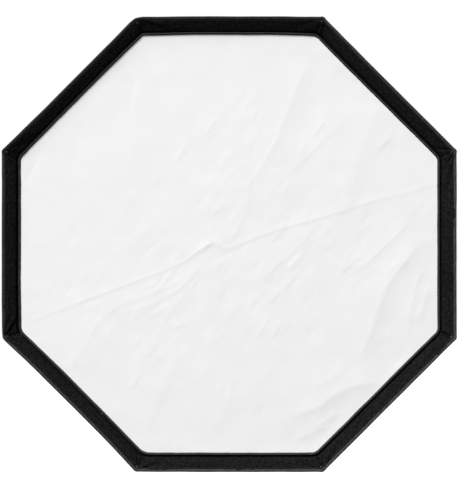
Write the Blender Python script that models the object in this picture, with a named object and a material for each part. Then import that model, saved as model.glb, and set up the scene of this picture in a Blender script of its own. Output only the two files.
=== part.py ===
"""Octagonal studio softbox: fabric shell on eight bowed rods, speed ring and rotating bayonet insert.

Frame: metres, +Z up. The optical axis is Y. The diffuser faces -Y and the light head sits at +Y.
The origin is the centre of the bayonet seat, the plane that the light head's front plate meets.
Radial pieces are modelled along local +X and turned about Y to their place.
"""
import math

import bmesh
import bpy
from mathutils import Vector

# Driving dimensions, in metres.
FLATS = 0.950            # across flats of the front rim, over the piping
FRONT_Y = -0.400         # front plane of the rim
SIDES = 8
GAP = 0.0003             # clearance that touching meshes keep

# Front rim.
PIPING_RADIUS = 0.0015
LIP_WIDTH = 0.0355       # visible black lip, from the piping's outside to the binding
LIP_THICKNESS = 0.003
LIP_RECESS = 0.012       # how far the lip slopes back from the piping to the binding
BINDING_WIDTH = 0.004
BINDING_THICKNESS = 0.0032
INNER_CORNER = 0.020     # corner radius at the binding
OUTER_CORNER = 0.004     # corner radius at the piping
DIFFUSER_THICKNESS = 0.0012
TAPE_WIDTH = 0.025
TAPE_THICKNESS = 0.001

# Bayonet insert, retaining ring and speed ring.
BORE_RADIUS = 0.0445
THROAT_RADIUS = 0.0490
THROAT_LENGTH = 0.0085
LUG_RADIUS = 0.0525
LUG_THICKNESS = 0.003
LUG_HALF_ANGLE = math.radians(16)
FLANGE_RADIUS = 0.0700
FLANGE_THICKNESS = 0.004
HUB_RADIUS = 0.0600
HUB_FRONT_Y = -0.026
RING_RADIUS = 0.0830
RING_CLEARANCE = 0.0004
RETAINER_THICKNESS = 0.003
SCREW_CIRCLE = 0.0525
SCREW_SHANK_RADIUS = 0.0015
SCREW_HEAD_RADIUS = 0.0031
SCREW_HEAD_HEIGHT = 0.0018
SCREW_LENGTH = 0.009
SCREW_COUNT = 4

# Lock knob, screwed into the bottom of the speed ring.
KNOB_Y = -0.0125
KNOB_SHANK_RADIUS = 0.0025
KNOB_HEAD_RADIUS = 0.0075
KNOB_HEAD_LENGTH = 0.013
KNOB_LOBES = 6

# Rods, their sockets and their tips.
ROD_RADIUS = 0.0025
ROD_BORE_CLEARANCE = 0.0004
SOCKET_RADIUS = 0.0055
SOCKET_LENGTH = 0.030
SOCKET_BORE_DEPTH = 0.024
SOCKET_START = (0.0745, -0.0335)      # radius and y of the socket tube's inner end
SOCKET_TILT = math.radians(70)        # angle between the socket and the optical axis
ROD_END = (0.5010, -0.3860)           # radius and y of the rod's outer end
TIP_RADIUS = 0.0040
TIP_LENGTH = 0.016
TIP_BORE_DEPTH = 0.012

# Fabric shell.
SHELL_THICKNESS = 0.0016
SHELL_FROM_ROD = 0.0052               # from the rod's axis to the shell's inner ridge
SHELL_STATIONS = 16
SEAM_GAP = 0.00025                    # half of the gap between neighbouring panels
COLLAR_THICKNESS = 0.0018
COLLAR_CUFF_Y = -0.0213               # rear edge of the cuff on the speed ring
COLLAR_FRONT_Y = -0.0290              # where the collar leaves the speed ring, behind the sockets
COLLAR_LAP_SHARE = 0.020              # share of the rod's arc that the collar laps over

# Inner baffle.
BAFFLE_Y = -0.215
BAFFLE_APOTHEM = 0.285
BAFFLE_THICKNESS = 0.001
BAFFLE_BINDING_WIDTH = 0.006
BAFFLE_BINDING_THICKNESS = 0.0024
STRAP_WIDTH = 0.012
STRAP_THICKNESS = 0.0012

STEP_ANGLE = 2 * math.pi / SIDES
HALF_STEP = STEP_ANGLE / 2
CORNER_ANGLES = [HALF_STEP + k * STEP_ANGLE for k in range(SIDES)]
RIM_APOTHEM = FLATS / 2
LIP_OUTER = RIM_APOTHEM - 2 * PIPING_RADIUS - 2 * GAP
LIP_INNER = RIM_APOTHEM - LIP_WIDTH


def clear_scene():
    """Remove what the file holds already."""
    for obj in list(bpy.data.objects):
        bpy.data.objects.remove(obj, do_unlink=True)


def make_material(name, color, roughness, metallic=0.0):
    """Return a plain material of one colour."""
    mat = bpy.data.materials.new(name)
    mat.use_nodes = True
    shader = mat.node_tree.nodes["Principled BSDF"]
    shader.inputs["Base Color"].default_value = (*color, 1.0)
    shader.inputs["Roughness"].default_value = roughness
    shader.inputs["Metallic"].default_value = metallic
    return mat


def add_mesh(name, bm, mat, smooth_angle=None):
    """Turn a bmesh into an object with one material, with its faces pointing out."""
    bmesh.ops.recalc_face_normals(bm, faces=bm.faces[:])
    mesh = bpy.data.meshes.new(name)
    bm.to_mesh(mesh)
    bm.free()
    return add_object(name, mesh, mat, smooth_angle)


def add_object(name, mesh, mat, smooth_angle=None):
    """Link an object that shows the mesh, shaded smooth where an angle is given."""
    if not mesh.materials:
        mesh.materials.append(mat)
    if smooth_angle is not None:
        mesh.shade_smooth()
        mesh.set_sharp_from_angle(angle=math.radians(smooth_angle))
    obj = bpy.data.objects.new(name, mesh)
    bpy.context.scene.collection.objects.link(obj)
    return obj


def turn_about_axis(obj, angle):
    """Turn a piece modelled along +X about the optical axis to the given angle from +X to +Z."""
    obj.rotation_euler = (0.0, -angle, 0.0)
    return obj


def boolean(obj, tool, operation):
    """Cut or join with a hidden tool object."""
    modifier = obj.modifiers.new(operation.lower(), "BOOLEAN")
    modifier.operation = operation
    modifier.solver = "EXACT"
    modifier.object = tool
    tool.hide_render = True
    tool.display_type = "WIRE"


def octagon_outline(apothem, corner_radius, steps=3):
    """Return (x, z) points of an octagon with flats up, down and to the sides and rounded corners.

    Every outline has the same number of points, so that two outlines can be bridged.
    A corner radius equal to the apothem gives a circle.
    """
    centre = (apothem - corner_radius) / math.cos(HALF_STEP)
    points = []
    for corner in CORNER_ANGLES:
        for i in range(steps + 1):
            angle = corner - HALF_STEP + STEP_ANGLE * i / steps
            x = centre * math.cos(corner) + corner_radius * math.cos(angle)
            z = centre * math.sin(corner) + corner_radius * math.sin(angle)
            points.append((x, z))
    return points


def outline_loop(bm, apothem, corner_radius, y, steps=3):
    """Add the vertices of one octagon outline at the given y."""
    return [bm.verts.new((x, y, z)) for x, z in octagon_outline(apothem, corner_radius, steps)]


def bridge(bm, lower, upper):
    """Join two loops of the same length with quads."""
    count = len(lower)
    for i in range(count):
        j = (i + 1) % count
        bm.faces.new((lower[i], lower[j], upper[j], upper[i]))


def octagon_ring(name, section, mat, smooth_angle=None, steps=3):
    """Sweep a closed section of (apothem, corner radius, y) around the octagon."""
    bm = bmesh.new()
    loops = [outline_loop(bm, apothem, radius, y, steps) for apothem, radius, y in section]
    for i, loop in enumerate(loops):
        bridge(bm, loop, loops[(i + 1) % len(loops)])
    return add_mesh(name, bm, mat, smooth_angle)


def octagon_plate(name, apothem, corner_radius, y_front, y_back, mat):
    """A flat octagonal sheet of cloth."""
    bm = bmesh.new()
    front = outline_loop(bm, apothem, corner_radius, y_front)
    back = outline_loop(bm, apothem, corner_radius, y_back)
    bridge(bm, front, back)
    bm.faces.new(front)
    bm.faces.new(back)
    return add_mesh(name, bm, mat)


def turned_ring(name, section, mat, segments=48):
    """Turn a closed section of (radius, y) about the optical axis."""
    bm = bmesh.new()
    loops = []
    for i in range(segments):
        angle = 2 * math.pi * i / segments
        loops.append([bm.verts.new((r * math.cos(angle), y, r * math.sin(angle))) for r, y in section])
    for i, loop in enumerate(loops):
        bridge(bm, loop, loops[(i + 1) % segments])
    return add_mesh(name, bm, mat, smooth_angle=35)


def turned_solid(profile, segments=16, start=None, direction=None):
    """Return a bmesh turned about a line, from (distance along, radius) points; ends are closed."""
    start = Vector(start)
    direction = Vector(direction).normalized()
    side = direction.cross(Vector((0.0, 0.0, 1.0)))
    if side.length < 0.1:
        side = direction.cross(Vector((0.0, 1.0, 0.0)))
    side.normalize()
    other = direction.cross(side)
    bm = bmesh.new()
    loops = []
    for distance, radius in profile:
        centre = start + direction * distance
        loop = []
        for i in range(segments):
            angle = 2 * math.pi * i / segments
            loop.append(bm.verts.new(centre + radius * (side * math.cos(angle) + other * math.sin(angle))))
        loops.append(loop)
    for lower, upper in zip(loops, loops[1:]):
        bridge(bm, lower, upper)
    bm.faces.new(loops[0])
    bm.faces.new(loops[-1])
    return bm


def rod_arc():
    """Return the arc that a fitted rod follows: its centre, radius and first and last angle.

    The arc leaves the socket along the socket's axis and ends at ROD_END, in the (radius, y) plane.
    """
    direction = Vector((math.sin(SOCKET_TILT), -math.cos(SOCKET_TILT)))
    start = Vector(SOCKET_START) + direction * SOCKET_LENGTH
    chord = Vector(ROD_END) - start
    normal = Vector((direction.y, -direction.x))
    radius = chord.length_squared / (2 * chord.dot(normal))
    centre = start + normal * radius
    first = math.atan2(start.y - centre.y, start.x - centre.x)
    last = math.atan2(ROD_END[1] - centre.y, ROD_END[0] - centre.x)
    return centre, radius, first, last


ARC_CENTRE, ARC_RADIUS, ARC_FIRST, ARC_LAST = rod_arc()


def arc_point(share, offset=0.0):
    """Return (radius, y) at a share of the rod's arc, moved outwards by offset."""
    angle = ARC_FIRST + (ARC_LAST - ARC_FIRST) * share
    reach = ARC_RADIUS + offset
    return ARC_CENTRE.x + reach * math.cos(angle), ARC_CENTRE.y + reach * math.sin(angle)


def arc_share_at_y(y):
    """Return the share of the rod's arc at the given y."""
    angle = math.asin((y - ARC_CENTRE.y) / ARC_RADIUS)
    return (angle - ARC_FIRST) / (ARC_LAST - ARC_FIRST)


def build_insert(mat):
    """Bayonet insert: the flanged hub that locks onto the light head, with three lugs."""
    section = [
        (BORE_RADIUS, THROAT_LENGTH),
        (THROAT_RADIUS, THROAT_LENGTH),
        (THROAT_RADIUS, 0.0),
        (FLANGE_RADIUS, 0.0),
        (FLANGE_RADIUS, -FLANGE_THICKNESS),
        (HUB_RADIUS, -FLANGE_THICKNESS),
        (HUB_RADIUS, HUB_FRONT_Y),
        (BORE_RADIUS, HUB_FRONT_Y),
    ]
    insert = turned_ring("bayonet_insert", section, mat, segments=60)
    lugs = add_lugs(mat)
    boolean(insert, lugs, "UNION")
    boolean(insert, screw_hole_cutter(mat), "DIFFERENCE")
    return insert


def add_lugs(mat):
    """Three curved lugs around the throat, sunk into its wall for the union."""
    bm = bmesh.new()
    y_back = THROAT_LENGTH - 0.001
    y_front = y_back - LUG_THICKNESS
    inner = THROAT_RADIUS - 0.002
    arc_steps = 6
    for k in range(3):
        middle = math.radians(90 + 120 * k)
        loops = []
        for i in range(arc_steps + 1):
            angle = middle - LUG_HALF_ANGLE + 2 * LUG_HALF_ANGLE * i / arc_steps
            corners = [(inner, y_front), (LUG_RADIUS, y_front), (LUG_RADIUS, y_back), (inner, y_back)]
            loops.append([bm.verts.new((r * math.cos(angle), y, r * math.sin(angle))) for r, y in corners])
        for lower, upper in zip(loops, loops[1:]):
            bridge(bm, lower, upper)
        bm.faces.new(loops[0])
        bm.faces.new(loops[-1])
    return add_mesh("lug_tool", bm, mat)


def screw_places():
    """Return the angles of the retaining screws."""
    return [math.radians(45) + 2 * math.pi * k / SCREW_COUNT for k in range(SCREW_COUNT)]


def screw_hole_cutter(mat):
    """Four plain pins that cut the retaining screws' holes."""
    bm = bmesh.new()
    radius = SCREW_SHANK_RADIUS + GAP
    y_front = HUB_FRONT_Y - 2 * RETAINER_THICKNESS
    y_back = HUB_FRONT_Y - RETAINER_THICKNESS + SCREW_LENGTH
    for angle in screw_places():
        x = SCREW_CIRCLE * math.cos(angle)
        z = SCREW_CIRCLE * math.sin(angle)
        pin = turned_solid([(0.0, radius), (y_back - y_front, radius)], 12, (x, y_front, z), (0, 1, 0))
        mesh = bpy.data.meshes.new("pin")
        pin.to_mesh(mesh)
        pin.free()
        bm.from_mesh(mesh)
        bpy.data.meshes.remove(mesh)
    return add_mesh("screw_hole_tool", bm, mat)


def build_retaining_ring(mat):
    """Flat ring, screwed to the front of the insert, that keeps the speed ring on its hub."""
    y_back = HUB_FRONT_Y - GAP
    y_front = y_back - RETAINER_THICKNESS
    section = [
        (BORE_RADIUS + 0.001, y_back),
        (FLANGE_RADIUS, y_back),
        (FLANGE_RADIUS, y_front),
        (BORE_RADIUS + 0.001, y_front),
    ]
    ring = turned_ring("retaining_ring", section, mat, segments=60)
    boolean(ring, screw_hole_cutter(mat), "DIFFERENCE")
    return y_front


def build_retaining_screws(y_face, mat):
    """Pan-head screws through the retaining ring into the hub."""
    head = y_face - GAP
    profile = [
        (0.0, SCREW_HEAD_RADIUS * 0.7),
        (SCREW_HEAD_HEIGHT * 0.4, SCREW_HEAD_RADIUS),
        (SCREW_HEAD_HEIGHT, SCREW_HEAD_RADIUS),
        (SCREW_HEAD_HEIGHT, SCREW_SHANK_RADIUS),
        (SCREW_HEAD_HEIGHT + SCREW_LENGTH - 0.002, SCREW_SHANK_RADIUS),
    ]
    for k, angle in enumerate(screw_places(), 1):
        start = (SCREW_CIRCLE, head - SCREW_HEAD_HEIGHT, 0.0)
        screw = add_mesh(f"retaining_screw_{k}", turned_solid(profile, 12, start, (0, 1, 0)), mat, 35)
        turn_about_axis(screw, angle)


def build_speed_ring(mat):
    """Speed ring: turns on the insert's hub and carries the eight rod sockets."""
    y_back = -FLANGE_THICKNESS - GAP
    y_front = HUB_FRONT_Y + GAP
    inner = HUB_RADIUS + RING_CLEARANCE
    chamfer = 0.0015
    section = [
        (inner, y_back),
        (RING_RADIUS - chamfer, y_back),
        (RING_RADIUS, y_back - chamfer),
        (RING_RADIUS, y_front + chamfer),
        (RING_RADIUS - chamfer, y_front),
        (inner, y_front),
    ]
    ring = turned_ring("speed_ring", section, mat, segments=64)
    hole_start = (0.0, KNOB_Y, -(inner - 0.004))
    hole_length = RING_RADIUS - inner + 0.008
    hole_radius = KNOB_SHANK_RADIUS + GAP
    hole = turned_solid([(0.0, hole_radius), (hole_length, hole_radius)], 16, hole_start, (0, 0, -1))
    boolean(ring, add_mesh("knob_hole_tool", hole, mat), "DIFFERENCE")
    return y_front


def build_lock_knob(mat):
    """Lobed thumbscrew that clamps the speed ring on the hub; its origin is on its own axis."""
    tip = HUB_RADIUS + 0.0008
    neck = RING_RADIUS + GAP
    head = neck + 0.0025
    profile = [
        (tip, KNOB_SHANK_RADIUS, 0.0),
        (neck, KNOB_SHANK_RADIUS, 0.0),
        (neck, 0.0048, 0.0),
        (head, 0.0052, 0.0),
        (head, KNOB_HEAD_RADIUS - 0.001, 0.0006),
        (head + 0.0015, KNOB_HEAD_RADIUS, 0.0010),
        (head + KNOB_HEAD_LENGTH - 0.002, KNOB_HEAD_RADIUS, 0.0010),
        (head + KNOB_HEAD_LENGTH, KNOB_HEAD_RADIUS - 0.002, 0.0004),
    ]
    bm = bmesh.new()
    segments = KNOB_LOBES * 6
    loops = []
    for distance, radius, lobe in profile:
        loop = []
        for i in range(segments):
            angle = 2 * math.pi * i / segments
            reach = radius - lobe * (1 - math.cos(KNOB_LOBES * angle)) / 2
            loop.append(bm.verts.new((reach * math.cos(angle), reach * math.sin(angle), -(distance - neck))))
        loops.append(loop)
    for lower, upper in zip(loops, loops[1:]):
        bridge(bm, lower, upper)
    bm.faces.new(loops[0])
    bm.faces.new(loops[-1])
    knob = add_mesh("lock_knob", bm, mat, 35)
    axis = bpy.data.objects.new("lock_knob_axis", None)
    axis.location = (0.0, KNOB_Y, -neck)
    bpy.context.scene.collection.objects.link(axis)
    knob.parent = axis


def build_sockets(y_ring_front, mat):
    """Eight angled sockets on the front of the speed ring, one for each rod."""
    direction = (math.sin(SOCKET_TILT), -math.cos(SOCKET_TILT), 0.0)
    start = (SOCKET_START[0], SOCKET_START[1], 0.0)
    bore = ROD_RADIUS + ROD_BORE_CLEARANCE
    profile = [
        (0.0, SOCKET_RADIUS),
        (SOCKET_LENGTH, SOCKET_RADIUS),
        (SOCKET_LENGTH, bore),
        (SOCKET_LENGTH - SOCKET_BORE_DEPTH, bore),
    ]
    foot_low = Vector((0.0735, SOCKET_START[1] + 0.0017, -0.007))
    foot_high = Vector((0.0822, y_ring_front - GAP, 0.007))
    foot_bm = bmesh.new()
    bmesh.ops.create_cube(foot_bm, size=1.0)
    size = foot_high - foot_low
    bmesh.ops.scale(foot_bm, vec=size, verts=foot_bm.verts)
    bmesh.ops.translate(foot_bm, vec=(foot_low + foot_high) / 2, verts=foot_bm.verts)
    bmesh.ops.bevel(foot_bm, geom=foot_bm.edges[:], offset=0.0008, segments=1, affect="EDGES")
    foot_mesh = bpy.data.meshes.new("socket_foot")
    foot_bm.to_mesh(foot_mesh)
    foot_bm.free()
    tube_mesh = bpy.data.meshes.new("socket_tube")
    tube = turned_solid(profile, 16, start, direction)
    bmesh.ops.recalc_face_normals(tube, faces=tube.faces[:])
    tube.to_mesh(tube_mesh)
    tube.free()
    for k, angle in enumerate(CORNER_ANGLES, 1):
        socket = turn_about_axis(add_object(f"rod_socket_{k}", tube_mesh.copy(), mat), angle)
        foot = turn_about_axis(add_object(f"socket_foot_tool_{k}", foot_mesh, mat), angle)
        boolean(socket, foot, "UNION")


def build_rods(mat):
    """Eight sprung rods: straight inside the socket, then bowed to the rim's corners."""
    direction = Vector((math.sin(SOCKET_TILT), -math.cos(SOCKET_TILT)))
    blind_end = SOCKET_LENGTH - SOCKET_BORE_DEPTH + 2 * GAP
    first = Vector(SOCKET_START) + direction * blind_end
    points = [(first.x, first.y)]
    stations = 26
    points += [arc_point(i / stations) for i in range(stations + 1)]
    for k, angle in enumerate(CORNER_ANGLES, 1):
        curve = bpy.data.curves.new(f"rod_{k}", "CURVE")
        curve.dimensions = "3D"
        curve.bevel_depth = ROD_RADIUS
        curve.bevel_resolution = 2
        curve.use_fill_caps = True
        spline = curve.splines.new("POLY")
        spline.points.add(len(points) - 1)
        for point, (radius, y) in zip(spline.points, points):
            point.co = (radius, y, 0.0, 1.0)
        curve.materials.append(mat)
        rod = bpy.data.objects.new(f"rod_{k}", curve)
        bpy.context.scene.collection.objects.link(rod)
        turn_about_axis(rod, angle)


def build_rod_tips(mat):
    """Eight rounded caps on the rods' outer ends, which sit in the rim's corner pockets."""
    along = Vector((-math.sin(ARC_LAST), math.cos(ARC_LAST), 0.0))
    if along.y > 0:
        along = -along
    start = Vector((ROD_END[0], ROD_END[1], 0.0)) - along * (TIP_BORE_DEPTH - 2 * GAP)
    bore = ROD_RADIUS + ROD_BORE_CLEARANCE
    profile = [
        (TIP_BORE_DEPTH, bore),
        (0.0, bore),
        (0.0, TIP_RADIUS - 0.0004),
        (0.0006, TIP_RADIUS),
        (TIP_LENGTH - 0.002, TIP_RADIUS),
        (TIP_LENGTH - 0.0006, TIP_RADIUS * 0.75),
        (TIP_LENGTH, TIP_RADIUS * 0.4),
    ]
    for k, angle in enumerate(CORNER_ANGLES, 1):
        tip = add_mesh(f"rod_tip_{k}", turned_solid(profile, 14, start, along), mat, 40)
        turn_about_axis(tip, angle)


def shell_ridge(offset, rim_inset):
    """Return (radius, y) points of the shell's ridge over a rod, from the collar to the rim."""
    first_share = 0.004
    points = []
    for i in range(SHELL_STATIONS):
        share = first_share + (1 - first_share) * i / (SHELL_STATIONS - 1)
        points.append(arc_point(share, offset))
    rim_radius = RIM_APOTHEM / math.cos(HALF_STEP) - rim_inset
    points.append((rim_radius, FRONT_Y + LIP_THICKNESS + 2 * GAP))
    return points


def build_shell_panels(mat):
    """Eight tapered fabric panels, each flat from rod to rod and bowed from ring to rim."""
    outer = shell_ridge(SHELL_FROM_ROD + SHELL_THICKNESS, 0.0014)
    inner = shell_ridge(SHELL_FROM_ROD, 0.0032)
    for k in range(SIDES):
        bm = bmesh.new()
        loops = []
        for (outer_radius, outer_y), (inner_radius, inner_y) in zip(outer, inner):
            outer_half = outer_radius * math.sin(HALF_STEP) - SEAM_GAP
            inner_half = inner_radius * math.sin(HALF_STEP) - SEAM_GAP
            outer_x = outer_radius * math.cos(HALF_STEP)
            inner_x = inner_radius * math.cos(HALF_STEP)
            corners = [
                (outer_x, outer_y, -outer_half),
                (outer_x, outer_y, outer_half),
                (inner_x, inner_y, inner_half),
                (inner_x, inner_y, -inner_half),
            ]
            loops.append([bm.verts.new(corner) for corner in corners])
        for lower, upper in zip(loops, loops[1:]):
            bridge(bm, lower, upper)
        bm.faces.new(loops[0])
        bm.faces.new(loops[-1])
        panel = add_mesh(f"shell_panel_{k + 1}", bm, mat, 20)
        turn_about_axis(panel, k * STEP_ANGLE)


def build_rear_collar(mat):
    """Fabric collar: a cuff around the speed ring that widens and laps over the shell's rear edge."""
    cuff = RING_RADIUS + GAP
    cuff_outer = cuff + COLLAR_THICKNESS
    lap_radius, lap_y = arc_point(COLLAR_LAP_SHARE, SHELL_FROM_ROD + SHELL_THICKNESS + 0.0004)
    lap = lap_radius * math.cos(HALF_STEP)
    corner = 0.0015
    section = [
        (cuff, cuff, COLLAR_CUFF_Y),
        (cuff_outer, cuff_outer, COLLAR_CUFF_Y),
        (cuff_outer, cuff_outer, COLLAR_FRONT_Y + COLLAR_THICKNESS),
        (lap, corner, lap_y + COLLAR_THICKNESS),
        (lap, corner, lap_y),
        (cuff, cuff, COLLAR_FRONT_Y),
    ]
    octagon_ring("rear_collar", section, mat, smooth_angle=30, steps=6)


def lip_line(share, lift):
    """Return (apothem, corner radius, y) of a line along the lip.

    The share runs from the lip's outside, 0, to its inside, 1. The lift is measured back from its front.
    """
    apothem = LIP_OUTER + (LIP_INNER - LIP_OUTER) * share
    corner = OUTER_CORNER + (INNER_CORNER - OUTER_CORNER) * share
    return apothem, corner, FRONT_Y + LIP_RECESS * share + lift


def build_rim(fabric, piping, tape):
    """Front rim: the folded lip that slopes back to the diffuser, its piping and the loop tape behind."""
    edge = 0.0006
    section = [
        lip_line(0.0, edge),
        lip_line(0.02, 0.0),
        lip_line(0.98, 0.0),
        lip_line(1.0, edge),
        lip_line(1.0, LIP_THICKNESS),
        lip_line(0.0, LIP_THICKNESS),
    ]
    octagon_ring("rim_band", section, fabric)
    centre = RIM_APOTHEM - PIPING_RADIUS
    middle_y = FRONT_Y + PIPING_RADIUS
    sides = 8
    section = []
    for i in range(sides):
        angle = 2 * math.pi * i / sides
        reach = PIPING_RADIUS * math.cos(angle)
        section.append((centre + reach, OUTER_CORNER + reach, middle_y + PIPING_RADIUS * math.sin(angle)))
    octagon_ring("rim_piping", section, piping, smooth_angle=60)
    tape_start = 0.15
    tape_end = tape_start + TAPE_WIDTH / (LIP_OUTER - LIP_INNER)
    tape_front = LIP_THICKNESS + GAP
    section = [
        lip_line(tape_start, tape_front),
        lip_line(tape_end, tape_front),
        lip_line(tape_end, tape_front + TAPE_THICKNESS),
        lip_line(tape_start, tape_front + TAPE_THICKNESS),
    ]
    octagon_ring("rim_loop_tape", section, tape)


def build_diffuser(cloth, binding):
    """Front diffuser: a stretched white cloth inside a rolled edge binding."""
    outer = LIP_INNER - GAP
    inner = outer - BINDING_WIDTH
    outer_corner = INNER_CORNER - GAP
    inner_corner = outer_corner - BINDING_WIDTH
    y_front = FRONT_Y + LIP_RECESS
    y_back = y_front + BINDING_THICKNESS
    roll = 0.0009
    section = [
        (outer, outer_corner, y_front + roll),
        (outer - roll, outer_corner - roll, y_front),
        (inner + roll, inner_corner + roll, y_front),
        (inner, inner_corner, y_front + roll),
        (inner, inner_corner, y_back - roll),
        (inner + roll, inner_corner + roll, y_back),
        (outer - roll, outer_corner - roll, y_back),
        (outer, outer_corner, y_back - roll),
    ]
    octagon_ring("diffuser_binding", section, binding)
    middle = (y_front + y_back) / 2
    half = DIFFUSER_THICKNESS / 2
    octagon_plate("diffuser_panel", inner - GAP, inner_corner - GAP, middle - half, middle + half, cloth)


def build_baffle(cloth, binding, elastic):
    """Inner baffle: a smaller white cloth with a bound edge, held by eight elastic straps."""
    half = BAFFLE_BINDING_THICKNESS / 2
    inner = BAFFLE_APOTHEM - BAFFLE_BINDING_WIDTH
    corner = 0.008
    section = [
        (BAFFLE_APOTHEM, corner, BAFFLE_Y - half),
        (inner, corner, BAFFLE_Y - half),
        (inner, corner, BAFFLE_Y + half),
        (BAFFLE_APOTHEM, corner, BAFFLE_Y + half),
    ]
    octagon_ring("baffle_binding", section, binding)
    thin = BAFFLE_THICKNESS / 2
    octagon_plate("inner_baffle", inner - GAP, corner, BAFFLE_Y - thin, BAFFLE_Y + thin, cloth)
    rod_radius, _ = arc_point(arc_share_at_y(BAFFLE_Y))
    corner_reach = (BAFFLE_APOTHEM - corner) / math.cos(HALF_STEP) + corner
    low = Vector((corner_reach + GAP, BAFFLE_Y - STRAP_THICKNESS / 2, -STRAP_WIDTH / 2))
    high = Vector((rod_radius - 2 * ROD_RADIUS, BAFFLE_Y + STRAP_THICKNESS / 2, STRAP_WIDTH / 2))
    for k, angle in enumerate(CORNER_ANGLES, 1):
        bm = bmesh.new()
        bmesh.ops.create_cube(bm, size=1.0)
        bmesh.ops.scale(bm, vec=high - low, verts=bm.verts)
        bmesh.ops.translate(bm, vec=(low + high) / 2, verts=bm.verts)
        turn_about_axis(add_mesh(f"baffle_strap_{k}", bm, elastic), angle)


def main():
    clear_scene()
    aluminium = make_material("anodised_aluminium", (0.05, 0.05, 0.055), 0.4, 1.0)
    bright = make_material("machined_aluminium", (0.72, 0.73, 0.75), 0.35, 1.0)
    steel = make_material("zinc_plated_steel", (0.55, 0.56, 0.58), 0.3, 1.0)
    rod_steel = make_material("spring_steel", (0.35, 0.36, 0.38), 0.35, 1.0)
    plastic = make_material("black_nylon", (0.03, 0.03, 0.03), 0.5)
    tip_plastic = make_material("grey_vinyl", (0.45, 0.45, 0.45), 0.6)
    black = make_material("black_polyester", (0.012, 0.012, 0.012), 0.85)
    grey = make_material("grey_binding", (0.04, 0.04, 0.04), 0.9)
    white = make_material("white_nylon_cloth", (0.87, 0.87, 0.87), 0.9)
    elastic = make_material("black_elastic", (0.02, 0.02, 0.02), 0.9)

    build_insert(bright)
    retainer_front = build_retaining_ring(bright)
    build_retaining_screws(retainer_front, steel)
    ring_front = build_speed_ring(aluminium)
    build_lock_knob(plastic)
    build_sockets(ring_front, aluminium)
    build_rods(rod_steel)
    build_rod_tips(tip_plastic)
    build_shell_panels(black)
    build_rear_collar(black)
    build_rim(black, grey, black)
    build_diffuser(white, grey)
    build_baffle(white, grey, elastic)


main()
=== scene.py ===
# %% [markdown]
# # An octagonal softbox, from frame to finish
#
# A softbox is sewn cloth held in tension. Eight sprung rods leave a metal speed ring and bow out to the
# corners of the front rim. A black shell with a silver lining lies over them, a black lip frames the
# front, and a white cloth closes it. The CAD model gives the places and the moving bodies. Here each
# soft piece gets its real shape, and each surface its real finish.

# %% Load the frame
import math

import bmesh
import bpy
import numpy as np
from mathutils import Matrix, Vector, noise


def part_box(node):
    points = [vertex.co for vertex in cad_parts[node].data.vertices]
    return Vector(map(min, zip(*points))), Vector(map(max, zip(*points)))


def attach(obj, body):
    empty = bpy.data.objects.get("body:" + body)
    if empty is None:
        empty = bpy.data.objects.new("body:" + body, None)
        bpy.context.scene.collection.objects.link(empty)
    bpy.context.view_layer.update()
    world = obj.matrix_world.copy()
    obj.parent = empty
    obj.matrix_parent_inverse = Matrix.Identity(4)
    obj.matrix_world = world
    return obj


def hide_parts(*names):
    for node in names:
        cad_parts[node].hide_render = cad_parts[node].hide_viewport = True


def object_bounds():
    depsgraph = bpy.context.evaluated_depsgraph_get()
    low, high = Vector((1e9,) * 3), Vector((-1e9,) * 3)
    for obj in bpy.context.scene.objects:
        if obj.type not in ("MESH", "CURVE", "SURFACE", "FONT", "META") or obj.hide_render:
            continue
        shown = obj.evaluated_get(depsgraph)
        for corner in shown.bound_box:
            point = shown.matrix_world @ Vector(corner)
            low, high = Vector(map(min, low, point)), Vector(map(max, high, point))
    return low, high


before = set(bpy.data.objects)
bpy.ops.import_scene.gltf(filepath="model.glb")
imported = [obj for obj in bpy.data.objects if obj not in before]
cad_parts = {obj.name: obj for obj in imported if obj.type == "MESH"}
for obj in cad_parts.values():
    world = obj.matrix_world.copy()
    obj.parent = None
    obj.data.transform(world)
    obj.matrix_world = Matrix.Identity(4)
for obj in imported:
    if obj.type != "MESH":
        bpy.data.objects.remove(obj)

CAD_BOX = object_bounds()
MM = 0.001
print("CAD box", [[round(x, 3) for x in corner] for corner in CAD_BOX])

# %% [markdown]
# The drawing office first. Every cloth piece here follows the same octagon, so its few driving sizes are
# read from the CAD model once: how far each edge lies from the optical axis, measured square to a side.
# That distance is called the apothem.

# %% Read the driving sizes
SIDES = 8
STEP = 2 * math.pi / SIDES
HALF = STEP / 2
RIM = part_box("rim_piping")[1].x
FRONT_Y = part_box("rim_piping")[0].y
LIP_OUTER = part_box("rim_band")[1].x
BINDING_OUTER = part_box("diffuser_binding")[1].x
BINDING_FRONT_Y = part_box("diffuser_binding")[0].y
CLOTH_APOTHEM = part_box("diffuser_panel")[1].x
RING_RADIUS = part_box("speed_ring")[1].x
CORNERS = [HALF + k * STEP for k in range(SIDES)]
print("rim", round(RIM, 4), "lip", round(LIP_OUTER, 4), "binding", round(BINDING_OUTER, 4))


# %% [markdown]
# ## Camera, floor and light
#
# The box is seen square on from far away, so a long lens six metres off gives almost parallel lines.
# One large soft light high on the left rakes the cloth, which shows its creases and makes the sloping
# lip darker at the top than at the bottom. A weak light behind keeps the black shell from going flat,
# and a pale room fills the shadows.

# %% Camera
CAMERA_DISTANCE = 6.0
VIEW_HEIGHT = 1.0211          # height of the picture at the front rim, in metres
SENSOR = 36.0                 # millimetres, along the longer side of the picture


def add_camera():
    """Put the camera on the optical axis, in front of the diffuser."""
    data = bpy.data.cameras.new("camera")
    data.sensor_width = SENSOR
    data.lens = SENSOR * CAMERA_DISTANCE / VIEW_HEIGHT
    camera = bpy.data.objects.new("camera", data)
    camera.location = (-0.0004, FRONT_Y - CAMERA_DISTANCE, 0.0010)
    camera.rotation_euler = (math.radians(90), 0.0, 0.0)
    bpy.context.scene.collection.objects.link(camera)
    bpy.context.scene.camera = camera
    return camera


print("lens", round(add_camera().data.lens, 1), "mm")

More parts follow.
